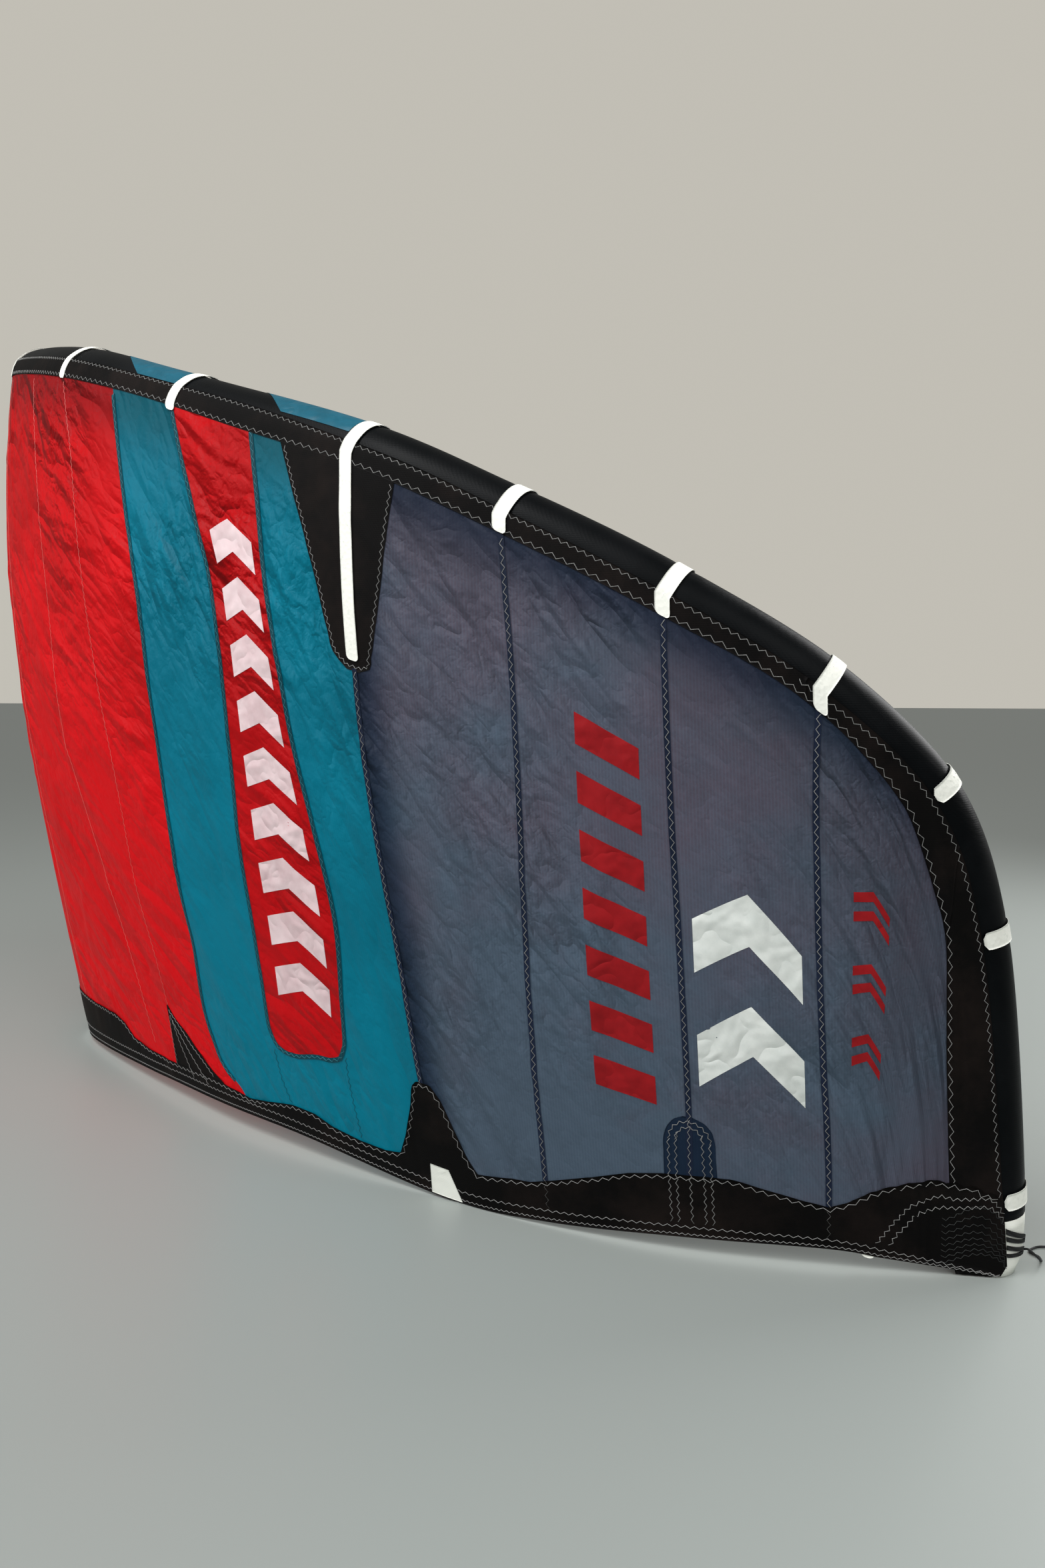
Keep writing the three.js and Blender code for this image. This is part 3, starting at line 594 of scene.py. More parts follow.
def on_tube(q, degrees, height=0.0):
    """A point some metres off the tube, turned up from where the cloth touches it."""
    q, degrees = np.broadcast_arrays(np.asarray(q, float), np.asarray(degrees, float))
    centre, out, up, radius = tube_frame(q)
    angle = np.radians(degrees)
    reach = (radius + height)[..., None]
    return centre + reach * (out * np.cos(angle)[..., None] + up * np.sin(angle)[..., None])


leading_line = on_edge(LEADING, ALONG_Q)
ALONG_TUBE = np.concatenate([[0], np.cumsum(np.linalg.norm(np.diff(leading_line, axis=0), axis=1))])


def tube_run(q):
    """Metres along the leading edge from the middle of the kite."""
    return np.interp(q, ALONG_Q, ALONG_TUBE)


SAILCLOTH_WEAVE = 0.00317  # the real weave is 0.5 mm, drawn coarser so that it shows


def sailcloth(name, colour, worn, roughness, creases=0.3, fold_scale=9.0):
    """Polyester sailcloth, woven tight and coated: smooth and firm, with a satin gloss and faint
    creases where it was packed."""
    material, tree = start_material(name)
    place = add(tree, "TexCoord").outputs["Object"]
    rubbed = add(tree, "TexNoise", {"Vector": place, "Scale": 7.0, "Detail": 6.0,
                                    "Roughness": 0.65})
    share = add(tree, "MapRange", {"Value": rubbed.outputs["Fac"], "From Min": 0.45,
                                   "From Max": 0.75})
    tone = add(tree, "MixRGB", {"Fac": share.outputs["Result"], "Color1": linear(colour),
                                "Color2": linear(worn)})
    weave = add(tree, "TexWave", {"Vector": place, "Scale": WAVE_REPEAT / SAILCLOTH_WEAVE},
                bands_direction="Z")
    cross = add(tree, "TexWave", {"Vector": place, "Scale": WAVE_REPEAT / SAILCLOTH_WEAVE},
                bands_direction="DIAGONAL")
    weft = add(tree, "Math", {0: weave.outputs["Fac"], 1: cross.outputs["Fac"]}, operation="ADD")
    packed = add(tree, "TexNoise", {"Vector": place, "Scale": fold_scale, "Detail": 4.0,
                                    "Roughness": 0.5, "Distortion": 0.8},
                 noise_type="RIDGED_MULTIFRACTAL")
    folded = add(tree, "Bump", {"Height": packed.outputs["Fac"], "Strength": creases,
                                "Distance": 0.004})
    woven = add(tree, "Bump", {"Height": weft.outputs["Value"], "Strength": 0.18,
                               "Distance": 0.0003, "Normal": folded.outputs["Normal"]})
    patchy = add(tree, "MapRange", {"Value": rubbed.outputs["Fac"], "To Min": roughness - 0.08,
                                    "To Max": roughness + 0.1})
    surface = add(tree, "BsdfPrincipled", {"Base Color": tone.outputs["Color"], "IOR": 1.57,
                                           "Roughness": patchy.outputs["Result"],
                                           "Specular IOR Level": 0.045,
                                           "Normal": woven.outputs["Normal"]})
    finish_material(tree, surface.outputs["BSDF"])
    return material


black_sailcloth = sailcloth("black polyester sailcloth", "050709", "0e1012", 0.42, creases=0.12)
strip_sailcloth = sailcloth("charcoal polyester sailcloth", "090808", "1c1614", 0.6)
white_sailcloth = sailcloth("white polyester sailcloth", "eceee6", "d6d8d0", 0.6, creases=0.35,
                            fold_scale=30.0)


def turned_out(faces, side):
    """Faces of a tube turned to face out on that side of the kite."""
    return faces if side == "far" else [face[::-1] for face in faces]


def tube_grid(first, last):
    """Rings of the tube between two stations, pinched and puckered at the joints."""
    count = max(int((tube_run(last) - tube_run(first)) / TUBE_STEP), 3)
    run = np.linspace(tube_run(first), tube_run(last), count + 1)
    q = np.interp(run, ALONG_TUBE, ALONG_Q)[:, None]
    degrees = np.arange(TUBE_SIDES) * 360 / TUBE_SIDES
    away = np.min([np.abs(run - tube_run(j)) for j in JOINTS[:-1]], axis=0)[:, None]
    height = -PINCH_DEPTH * np.exp(-((away / PINCH_REACH) ** 2))
    pucker = PUCKER_HEIGHT * np.sin(np.radians(degrees) * PUCKERS)
    height = height + pucker * np.exp(-away / PUCKER_REACH)
    points = on_tube(q + 0 * degrees, degrees + 0 * q, height)
    if last == JOINTS[-1]:
        points[-1, :, 2] = 0.0
    points[..., 2] = np.maximum(points[..., 2], 0)
    return points


LENGTHS = [  # piece, first and last station, cloth, slot, number of the solid that it stands for
    *((f"tube_{number}", first, last, black_sailcloth, "tube_cloth", number)
      for number, (first, last) in enumerate(zip(JOINTS[:-2], JOINTS[1:]), 1)),
    ("tip_cap", CAP_START, JOINTS[-1], white_sailcloth, "white_tape", 10),
    ("tube_10", JOINTS[-2], CAP_START, black_sailcloth, "tube_cloth", None),
]
for side in ("near", "far"):
    for name, first, last, material, slot, number in LENGTHS:
        points = on_side(tube_grid(first, last), side)
        faces = turned_out(tube_faces(len(points), TUBE_SIDES), side)
        tube = make_piece(f"{name}_{side}", points.reshape(-1, 3), faces, material)
        if number:
            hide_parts(f"tube_{side}_{number}")

# Three struts, inflated tubes of the same sailcloth, stand on the hollow side under the middle of
# the canopy and under its two strut seams. Each tapers from the leading edge down to the floor.
STRUTS = [  # piece, station, side, radius at the top and at the foot in mm
    ("strut_centre", 0, "near", 50, 25),
    ("strut_near", 4, "near", 40, 21),
    ("strut_far", 4, "far", 40, 21),
]
STRUT_START = 0.035  # depth of the top end, just under the tube
STRUT_RINGS = 70
STRUT_SIDES = 32
STRUT_CLEAR = 0.0015  # metres between a strut and the cloth
for name, station, side, top, foot in STRUTS:
    seam = STRUT_SEAM if station == 4 else [(0, 0.0), (1, 0.0)]
    depth = np.linspace(STRUT_START, 1, STRUT_RINGS)
    q = smooth(seam, depth)
    out = cloth_normal(q, depth)
    middle = cloth(q, depth, -CLOTH_MIDDLE, creased=False)
    down = unit(np.gradient(middle, axis=0))
    beside = unit(np.cross(out, down))
    radius = (top + (foot - top) * depth) / 1000
    centre = middle - out * (radius + STRUT_CLEAR)[:, None]
    turn = 2 * np.pi * np.arange(STRUT_SIDES) / STRUT_SIDES
    rings = centre[:, None] + radius[:, None, None] * (
        out[:, None] * np.cos(turn)[:, None] + beside[:, None] * np.sin(turn)[:, None])
    low = rings[-1]
    rings[-1] = low - down[-1] * (low[:, 2:] / down[-1, 2])
    rings[..., 2] = np.maximum(rings[..., 2], 0)
    faces = tube_faces(STRUT_RINGS, STRUT_SIDES)
    strut = make_piece(f"{name}_tube", on_side(rings, side).reshape(-1, 3),
                       turned_out(faces, side), black_sailcloth)
    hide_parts(name)

# A charcoal sailcloth strip covers the joint of canopy and tube. It starts on the tube, a
# little above the canopy's edge, widens down the wing, and takes in the whole tip.
STRIP_ON_TUBE = [(0, 30), (2, 30), (2.9, 31), (3.4, 29), (3.9, 19), (4.5, 15), (5, 11), (5.5, 8),
                 (6.9, 6), (7.4, 2), (8.5, 1), (10, 1), (11, 2)]  # degrees up round the tube
STRIP_ON_CLOTH = [(0, 0.003), (2, 0.003), (3, 0.003), (3.5, 0.011), (4, 0.015), (4.6, 0.02),
                  (5, 0.023), (6, 0.03), (6.9, 0.034), (7.17, 0.043), (7.37, 0.056),
                  (7.58, 0.071), (7.74, 0.085), (7.86, 0.109), (7.98, 0.134), (8.14, 0.167),
                  (8.31, 0.196), (8.41, 0.228), (8.51, 0.297), (8.71, 0.426), (8.85, 0.5),
                  (9.14, 0.684), (9.3, 0.8), (9.5, 1), (11, 1)]  # depth of its lower edge
STRIP_LIFT = 0.0011
STRIP_THICK = 0.0006
STRIP_WIDE = 0.06
STRIP_CLEAR = 0.002  # metres off the floor
STRIP_ROUND_TUBE = 5


def stage_sheet(piece):
    """Starts an empty list of what is sewn on a sheet. A strip that widens is cut in joined
    lengths, so its width is at most MOST_WIDENING times the mean."""
    trim[piece.name] = []


STRIPS = [  # piece, first and last station, columns and rows
    ("leading_edge_strip", 0, 6.9, 400, 12),
    ("tip_side_strip", 6.9, 8.4, 60, 16),
    ("tip_strip", 8.4, TIP_STOP, 90, 20),
]
for side in ("near", "far"):
    for name, first, last, columns, rows in STRIPS:
        run = np.linspace(tube_run(first), tube_run(last), columns)
        q = np.interp(run, ALONG_TUBE, ALONG_Q)[None, :]
        upward = np.linspace(1, 0, STRIP_ROUND_TUBE)[:-1, None]
        upper = on_tube(q + 0 * upward, smooth(STRIP_ON_TUBE, q) * upward,
                        GAP + CLOTH_MIDDLE + STRIP_LIFT)
        depth = smooth(STRIP_ON_CLOTH, q) * np.linspace(0, 1, rows)[:, None] ** 1.2
        lower = cloth(q + 0 * depth, depth, STRIP_LIFT)
        lower[..., 2] = np.maximum(lower[..., 2], STRIP_CLEAR)
        outer = np.vstack([upper, lower])
        share = np.linspace(0, 1, len(outer))[:, None]
        flat = (run[None, :] + 0 * share, STRIP_WIDE * share + 0 * run[None, :])
        strip = make_sheet(f"{name}_{side}", outer, side, strip_sailcloth, flat,
                           STRIP_THICK)
        stage_sheet(strip)

# The trailing edge has a band of the same cloth, doubled and hemmed. It rises in a rounded patch
# at each strut, and at the tip into one large patch that meets the leading edge.
BAND_EDGE = [(0, 0.925), (0.9, 0.928), (1.41, 0.933), (1.48, 0.94), (1.54, 0.958), (1.65, 0.965),
             (1.84, 0.969), (2.1, 0.966), (2.3, 0.968), (2.52, 0.974), (2.71, 0.968), (2.94, 0.958),
             (3.12, 0.957), (3.24, 0.965), (3.43, 0.967), (3.6, 0.964), (3.71, 0.957),
             (3.78, 0.924), (3.86, 0.873), (3.89, 0.846), (3.93, 0.836), (4.03, 0.835),
             (4.10, 0.853), (4.17, 0.89), (4.25, 0.927), (4.33, 0.948), (4.7, 0.942), (4.87, 0.942),
             (5.05, 0.934), (5.34, 0.919), (5.61, 0.903), (5.83, 0.896), (6.29, 0.890),
             (6.49, 0.9), (6.78, 0.913), (7.0, 0.918), (7.24, 0.901), (7.6, 0.867), (8.12, 0.826),
             (8.6, 0.784), (9.11, 0.714), (9.39, 0.626), (9.69, 0.427), (9.95, 0.06),
             (10.0, 0.0), (11, 0.0)]
BAND_LIFT = 0.0019
BAND_COLUMNS = 620
BAND_ROWS = 12
HEM_CLEAR = 0.0008  # metres off the floor
for side in ("near", "far"):
    run = np.linspace(0, laid_flat(np.array(TIP_STOP), 0.0)[0], BAND_COLUMNS)
    q = np.interp(run, ALONG_M, ALONG_Q)[None, :]
    edge = np.interp(q, *np.array(BAND_EDGE).T)
    depth = edge + (1 - edge) * np.linspace(0, 1, BAND_ROWS)[:, None]
    outer = cloth(q + 0 * depth, depth, BAND_LIFT)
    outer[..., 2] = np.maximum(outer[..., 2], HEM_CLEAR)
    band = make_sheet(f"trailing_edge_band_{side}", outer, side, strip_sailcloth,
                      laid_flat(q + 0 * depth, depth), STRIP_THICK)
    stage_sheet(band)

# Patches of doubled cloth take the load at the struts and batten ends. The top ones are long
# tongues under the strut tapes, and the navy one at the second rib is ripstop over ripstop.
STRUT_PATCH_LEFT = [(0, 3.63), (0.067, 3.69), (0.12, 3.74), (0.18, 3.79), (0.24, 3.83),
                    (0.272, 3.865), (0.284, 3.92)]
STRUT_PATCH_RIGHT = [(0, 4.31), (0.03, 4.285), (0.07, 4.25), (0.145, 4.19), (0.21, 4.13),
                     (0.257, 4.08), (0.28, 4.03), (0.284, 3.99)]
CENTRE_PATCH_RIGHT = [(0, 0.62), (0.07, 0.55), (0.145, 0.43), (0.21, 0.29), (0.257, 0.17),
                      (0.28, 0.06), (0.284, 0.02)]
BATTEN_LEFT = [(0.878, 1.905), (0.918, 1.88), (0.969, 1.84), (1, 1.82)]
BATTEN_RIGHT = [(0.878, 1.915), (0.897, 1.96), (0.911, 2.03), (0.932, 2.1), (0.953, 2.18),
                (0.971, 2.29), (1, 2.35)]
NAVY_LEFT = [(0.795, 6.0), (0.8, 5.95), (0.81, 5.905), (0.83, 5.865), (0.86, 5.855), (0.9, 5.85)]
NAVY_RIGHT = [(0.795, 6.06), (0.8, 6.12), (0.81, 6.17), (0.83, 6.2), (0.86, 6.205), (0.9, 6.21)]
FOOT_TAB_LEFT = [(0.955, 3.92), (1, 3.89)]
FOOT_TAB_RIGHT = [(0.955, 4.06), (1, 4.14)]
CENTRE_TAB_RIGHT = [(0.955, 0.1), (1, 0.14)]
PATCH_COLUMNS, PATCH_ROWS = 26, 34
PATCH_THICK = 0.0004
navy_ripstop = ripstop("navy ripstop patch", "17263a", "132032", through=0.1, line_share=0.1,
                       roughness=0.45, top=0.3, low=0.3, lean=40)
PATCHES = [  # piece, left, right, top, bottom, material, slot, panel that it is sewn on, lift
    ("strut_patch", STRUT_PATCH_LEFT, STRUT_PATCH_RIGHT, 0.002, 0.284, strip_sailcloth,
     "tube_cloth", "teal_outer_panel", 0.0009),
    ("centre_patch", CENTRE, CENTRE_PATCH_RIGHT, 0.002, 0.284, strip_sailcloth, "tube_cloth",
     "red_panel", 0.0009),
    ("batten_patch", BATTEN_LEFT, BATTEN_RIGHT, 0.878, 0.985, strip_sailcloth, "tube_cloth",
     "red_panel", 0.0012),
    ("rib_patch", NAVY_LEFT, NAVY_RIGHT, 0.795, 0.905, navy_ripstop, "grey_canopy",
     "grey_panel_2", 0.0007),
    ("foot_tab", FOOT_TAB_LEFT, FOOT_TAB_RIGHT, 0.955, 0.998, white_sailcloth, "white_tape",
     "teal_outer_panel", 0.0026),
    ("centre_foot_tab", CENTRE, CENTRE_TAB_RIGHT, 0.955, 0.998, white_sailcloth, "white_tape",
     "red_panel", 0.0026),
]
for side in ("near", "far"):
    for name, left, right, top, bottom, material, slot, panel, lift in PATCHES:
        q, depth = region(left, right, top, bottom, PATCH_COLUMNS, PATCH_ROWS)
        outer = cloth(q, depth, lift)
        outer[..., 2] = np.maximum(outer[..., 2], HEM_CLEAR)
        patch = make_sheet(f"{name}_{side}", outer, side, material, laid_flat(q, depth),
                           PATCH_THICK)
        trim[f"{panel}_{side}"].append(patch)

# A red panel of the same ripstop, with rounded lower corners, is sewn over the teal one. It
# starts under the strip at the leading edge.
INSERT_RIGHT = [(0, 3.48), (0.08, 3.5), (0.22, 3.51), (0.33, 3.53), (0.4, 3.54), (0.54, 3.585),
                (0.65, 3.6), (0.72, 3.57), (0.79, 3.51), (0.85, 3.46), (1, 3.44)]
INSERT_BOTTOM = [(0, 0.85), (0.05, 0.868), (0.14, 0.876), (0.3, 0.877), (0.65, 0.863),
                 (0.86, 0.856), (0.95, 0.846), (1, 0.826)]
INSERT_LIFT = 0.0006
INSERT_COLUMNS, INSERT_ROWS = 60, 190
for side in ("near", "far"):
    q, depth = region(INSERT_LEFT, INSERT_RIGHT, 0.0, INSERT_BOTTOM, INSERT_COLUMNS,
                      INSERT_ROWS)
    insert = make_sheet(f"red_insert_{side}", cloth(q, depth, INSERT_LIFT), side, red_ripstop,
                        laid_flat(q, depth))
    trim[f"teal_outer_panel_{side}"].append(insert)

# A narrow tape covers each seam of the canopy: dark teal on the coloured panels and navy on the
# slate ones. It is the same ripstop, cut 9.5 mm wide and sewn flat over the joint.
SEAM_TAPE_WIDTH = 0.0095
SEAM_TAPE_LIFT = 0.0011
SEAM_STEP = 0.01
PLACE_STEP = 0.002  # the change of station or depth that slopes are measured over
SEAM_POINTS = 700
SEAM_TAPE = {"through": 0.05, "line_share": 0.1, "roughness": 0.5, "top": 0.3, "low": 0.3,
             "lean": 0}
teal_tape = ripstop("dark teal seam tape", "0b4450", "083a45", **SEAM_TAPE)
navy_tape = ripstop("navy seam tape", "1b2438", "151d2f", **SEAM_TAPE)


def seam_places(q, depth, step):
    """Places a step apart along a line on the cloth, the change of station and depth that leads
    one metre square off the line, and the cloth's normal."""
    share, dense = np.linspace(0, 1, len(q)), np.linspace(0, 1, SEAM_POINTS)
    q, depth = np.interp(dense, share, q), np.interp(dense, share, depth)
    line = cloth(q, depth, creased=False)
    run = np.concatenate([[0], np.cumsum(np.linalg.norm(np.diff(line, axis=0), axis=1))])
    at = np.linspace(0, run[-1], max(int(round(run[-1] / step)), 2) + 1)
    q, depth = np.interp(at, run, q), np.interp(at, run, depth)
    along = unit(np.gradient(cloth(q, depth, creased=False), axis=0))
    normal = cloth_normal(q, depth)
    across = np.cross(normal, along)
    by_q = (cloth(q + PLACE_STEP, depth, creased=False)
            - cloth(q - PLACE_STEP, depth, creased=False)) / (2 * PLACE_STEP)
    by_depth = (cloth(q, depth + PLACE_STEP, creased=False)
                - cloth(q, depth - PLACE_STEP, creased=False)) / (2 * PLACE_STEP)
    pairs = ((by_q, by_q), (by_q, by_depth), (by_depth, by_depth))
    a, b, c = (np.sum(one * other, -1) for one, other in pairs)
    x, y = np.sum(across * by_q, -1), np.sum(across * by_depth, -1)
    whole = a * c - b * b
    return q, depth, (c * x - b * y) / whole, (a * y - b * x) / whole, normal


def down_seam(seam, top, bottom):
    """Stations and depths down a seam between two depths."""
    depth = np.linspace(top, bottom, 120)
    return smooth(seam, depth), depth


def insert_outline():
    """The line round the red insert: down its left side, along the bottom and up the right."""
    share = np.linspace(0, 1, 60)
    bottom = smooth(INSERT_BOTTOM, share)
    left, right = smooth(INSERT_LEFT, bottom), smooth(INSERT_RIGHT, bottom)
    q = left + (right - left) * share
    q1, d1 = down_seam(INSERT_LEFT, 0.01, bottom[0])
    q2, d2 = down_seam(INSERT_RIGHT, 0.01, bottom[-1])
    return np.concatenate([q1, q[1:-1], q2[::-1]]), np.concatenate([d1, bottom[1:-1], d2[::-1]])


SEAM_TAPES = [  # piece, line, material, slot, the panel it is sewn on
    ("red_seam_tape", down_seam(RED_EDGE, 0.01, 0.955), teal_tape, "teal_canopy",
     "teal_inner_panel"),
    ("insert_seam_tape", insert_outline(), teal_tape, "teal_canopy", "teal_outer_panel"),
    ("strut_seam_tape", down_seam(STRUT_SEAM, 0.28, 0.84), navy_tape, "grey_canopy",
     "grey_panel_1"),
    ("rib_tape_1", down_seam(RIB_1, 0.02, 0.945), navy_tape, "grey_canopy", "grey_panel_1"),
    ("rib_tape_2", down_seam(RIB_2, 0.02, 0.9), navy_tape, "grey_canopy", "grey_panel_2"),
    ("rib_tape_3", down_seam(RIB_3, 0.02, 0.92), navy_tape, "grey_canopy", "grey_panel_3"),
]
for name, (q, depth), material, slot, panel in SEAM_TAPES:
    q, depth, over, down, _ = seam_places(q, depth, SEAM_STEP)
    off = SEAM_TAPE_WIDTH * np.array([-0.5, 0, 0.5])[:, None]
    q, depth = q + over * off, depth + down * off
    for side in ("near", "far"):
        tape = make_sheet(f"{name}_{side}", cloth(q, depth, SEAM_TAPE_LIFT), side, material,
                          laid_flat(q, depth))
        trim[f"{panel}_{side}"].append(tape)

# Every seam and hem is sewn with a zigzag of bonded polyester thread. It is pale grey on the
# black and navy cloth, teal on the teal tapes, pink on red and dark on plain teal.
THREAD_RADIUS = 0.00043
TWIST_PITCH = 0.00242  # the real twist is 1 mm, drawn coarser so that it shows
LIE = THREAD_RADIUS * 0.6  # how far a thread's middle lies above its cloth


def bonded_thread(name, colour, shade):
    """Bonded thread is smooth, with a dull gloss and slightly uneven colour."""
    material, tree = start_material(name)
    place = add(tree, "TexCoord").outputs["Object"]
    uneven = add(tree, "TexNoise", {"Vector": place, "Scale": 160.0, "Detail": 2.0})
    tone = add(tree, "MixRGB", {"Fac": uneven.outputs["Fac"], "Color1": linear(shade),
                                "Color2": linear(colour)})
    twist = add(tree, "TexWave", {"Vector": place, "Scale": WAVE_REPEAT / TWIST_PITCH},
                bands_direction="DIAGONAL")
    raised = add(tree, "Bump", {"Height": twist.outputs["Fac"], "Strength": 0.3,
                                "Distance": 0.0002})
    surface = add(tree, "BsdfPrincipled", {"Base Color": tone.outputs["Color"],
                                           "Roughness": 0.5, "IOR": 1.57,
                                           "Specular IOR Level": 0.25,
                                           "Normal": raised.outputs["Normal"]})
    finish_material(tree, surface.outputs["BSDF"])
    return material


threads = {  # colour: material, panel that carries it, and what has been sewn with it so far
    "grey": (bonded_thread("grey bonded thread", "a2a2a0", "6e6e6e"), "grey_panel_1", []),
    "dim": (bonded_thread("dark grey bonded thread", "333535", "202222"), "grey_panel_4", []),
    "teal": (bonded_thread("teal bonded thread", "3f8f9d", "2a6a76"), "teal_outer_panel", []),
    "pink": (bonded_thread("red bonded thread", "e58078", "b8504c"), "red_panel", []),
    "dark": (bonded_thread("dark teal bonded thread", "0e4854", "0a3a44"), "teal_inner_panel", []),
    "white": (bonded_thread("white bonded thread", "bfc4bc", "9aa098"), "red_panel", []),
}


def sew(colour, points, normal, pitch, reach):
    """A zigzag thread through points half a pitch apart, as rings of four points."""
    points[..., 2] = np.maximum(points[..., 2], THREAD_RADIUS)
    along = np.empty_like(points)
    along[1:-1] = points[2:] - points[:-2]
    along[0], along[-1] = along[1], along[-2]
    across = unit(np.cross(normal, along))
    wide = THREAD_RADIUS * math.hypot(1, 2 * reach / pitch)
    rings = np.stack([points + normal * THREAD_RADIUS, points + across * wide,
                      points - normal * THREAD_RADIUS, points - across * wide], 1)
    threads[colour][2].append(rings)


def sew_on_cloth(colour, q, depth, pitch, reach, lift, off=0.0):
    """A zigzag along a line on the cloth, off metres to one side of it."""
    q, depth, over, down, normal = seam_places(q, depth, pitch / 2)
    swing = off + reach / 2 * (-1.0) ** np.arange(len(q))
    sew(colour, cloth(q + over * swing, depth + down * swing, lift + LIE), normal, pitch, reach)


def sew_on_tube(colour, first, last, table, pitch, reach, height, off=0.0):
    """A zigzag round the tube, at the degrees that a table gives for each station."""
    count = int(round((tube_run(last) - tube_run(first)) / pitch * 2))
    q = np.interp(np.linspace(tube_run(first), tube_run(last), count + 1), ALONG_TUBE, ALONG_Q)
    swing = off + reach / 2 * (-1.0) ** np.arange(len(q))
    degrees = smooth(table, q) + np.degrees(swing / at_station(2, q))
    points = on_tube(q, degrees, height + LIE)
    sew(colour, points, unit(points - tube_frame(q)[0]), pitch, reach)


# The strip on the leading edge: a close zigzag on the tube and a longer one on the cloth.
THREAD_START = 0.02  # station
STRIP_THREAD_TURN = 6.8  # from this station on, the upper line is sewn through the cloth
sew_on_tube("grey", THREAD_START, STRIP_THREAD_TURN, STRIP_ON_TUBE, pitch=0.015, reach=0.005,
            height=0.0021, off=-0.0045)
q = np.linspace(STRIP_THREAD_TURN + 0.06, 10.8, 300)
sew_on_cloth("grey", q, 0.002 + 0 * q, pitch=0.015, reach=0.005, lift=STRIP_LIFT, off=-0.004)
q = np.linspace(THREAD_START, 9.22, 500)
sew_on_cloth("grey", q, smooth(STRIP_ON_CLOTH, q), pitch=0.019, reach=0.006, lift=STRIP_LIFT,
             off=0.005)
# The band on the trailing edge: along its upper edge and in two lines along the hem.
HEM_LINES = (0.982, 0.014, 0.004), (0.9945, 0.0095, 0.003)  # depth, pitch and reach
q = np.linspace(THREAD_START, 9.9, 900)
sew_on_cloth("grey", q, np.interp(q, *np.array(BAND_EDGE).T), pitch=0.018, reach=0.0055,
             lift=BAND_LIFT, off=-0.0055)
q = np.linspace(THREAD_START, 10.74, 900)
for depth, pitch, reach in HEM_LINES:
    sew_on_cloth("grey", q, depth + 0 * q, pitch, reach, BAND_LIFT)
TIP_CURVES = [
    [(7.87, 0.970), (8.05, 0.935), (8.23, 0.9), (8.45, 0.862), (8.75, 0.821), (9.05, 0.77),
     (9.34, 0.703), (9.6, 0.55), (9.85, 0.27), (10.06, 0.01)],
    [(8.15, 0.967), (8.3, 0.932), (8.47, 0.905), (8.65, 0.868), (8.87, 0.838), (9.12, 0.795),
     (9.37, 0.729), (9.64, 0.57), (9.9, 0.28), (10.11, 0.01)],
]
for row in TIP_CURVES:
    q = np.linspace(row[0][0], row[-1][0], 120)
    sew_on_cloth("grey", q, smooth(row, q), pitch=0.0115, reach=0.005, lift=BAND_LIFT)
# Rows of dark grey thread hold the inner layers of the tip patch. The first and the last row
# give the station and depth where each starts and ends.
LAYER_ROWS = 8
FIRST_ROW = np.array([(9.15, 0.83), (10.14, 0.02)])
LAST_ROW = np.array([(9.27, 0.98), (10.84, 0.12)])
ROW_BOW = 1.6
for share in np.linspace(0, 1, LAYER_ROWS):
    start, end = FIRST_ROW + (LAST_ROW - FIRST_ROW) * share
    run = np.linspace(0, 1, 40)
    q = start[0] + (end[0] - start[0]) * run
    depth = start[1] + (end[1] - start[1]) * run**ROW_BOW
    sew_on_cloth("dim", q, depth, pitch=0.012, reach=0.0036, lift=BAND_LIFT)
# The patches: round the strut tongues, the batten pocket and the rib patch.
PATCH_ZIGZAG = {"pitch": 0.013, "reach": 0.0045, "lift": 0.0009}
PATCH_INSET = 0.0055
PATCH_FROM, PATCH_TO = 0.02, 0.283
left_q, left_depth = down_seam(STRUT_PATCH_LEFT, PATCH_FROM, PATCH_TO)
right_q, right_depth = down_seam(STRUT_PATCH_RIGHT, PATCH_FROM, PATCH_TO)
sew_on_cloth("grey", np.concatenate([left_q, right_q[::-1]]),
             np.concatenate([left_depth, right_depth[::-1]]), off=PATCH_INSET, **PATCH_ZIGZAG)
sew_on_cloth("grey", *down_seam(CENTRE_PATCH_RIGHT, PATCH_FROM, PATCH_TO), off=-PATCH_INSET,
             **PATCH_ZIGZAG)
POCKET_LINES = [
    [(1.91, 0.892), (1.88, 0.918), (1.85, 0.97)],
    [(1.915, 0.892), (1.93, 0.93), (1.97, 0.98)],
    [(1.915, 0.885), (2.03, 0.922), (2.18, 0.962)],
    [(1.92, 0.9), (2.0, 0.94), (2.1, 0.98)],
]
for row in POCKET_LINES:
    sew_on_cloth("grey", *np.array(row).T, pitch=0.012, reach=0.004, lift=BAND_LIFT)
RIB_PATCH_LINES = [  # share of the patch's width: two pairs that arch over, and a middle line
    (0.1, 0.835), (0.24, 0.822), (0.5, 0.8), (0.76, 0.822), (0.9, 0.835)]
for share, top in RIB_PATCH_LINES:
    depth = np.linspace(top, 0.975, 60)
    held = np.minimum(depth, NAVY_LEFT[-1][0])
    q = smooth(NAVY_LEFT, held) * (1 - share) + smooth(NAVY_RIGHT, held) * share
    sew_on_cloth("grey", q, depth, pitch=0.013, reach=0.004, lift=BAND_LIFT)
ARCHES = (0.14, 0.803), (0.091, 0.812)  # half width in stations, and depth of the top
ARCH_MIDDLE, ARCH_FOOT = 6.035, 0.836  # station, and depth of both ends
turn = np.linspace(0, np.pi, 40)
for half, top in ARCHES:
    sew_on_cloth("grey", ARCH_MIDDLE - half * np.cos(turn),
                 ARCH_FOOT - (ARCH_FOOT - top) * np.sin(turn), pitch=0.012, reach=0.004,
                 lift=0.0009)
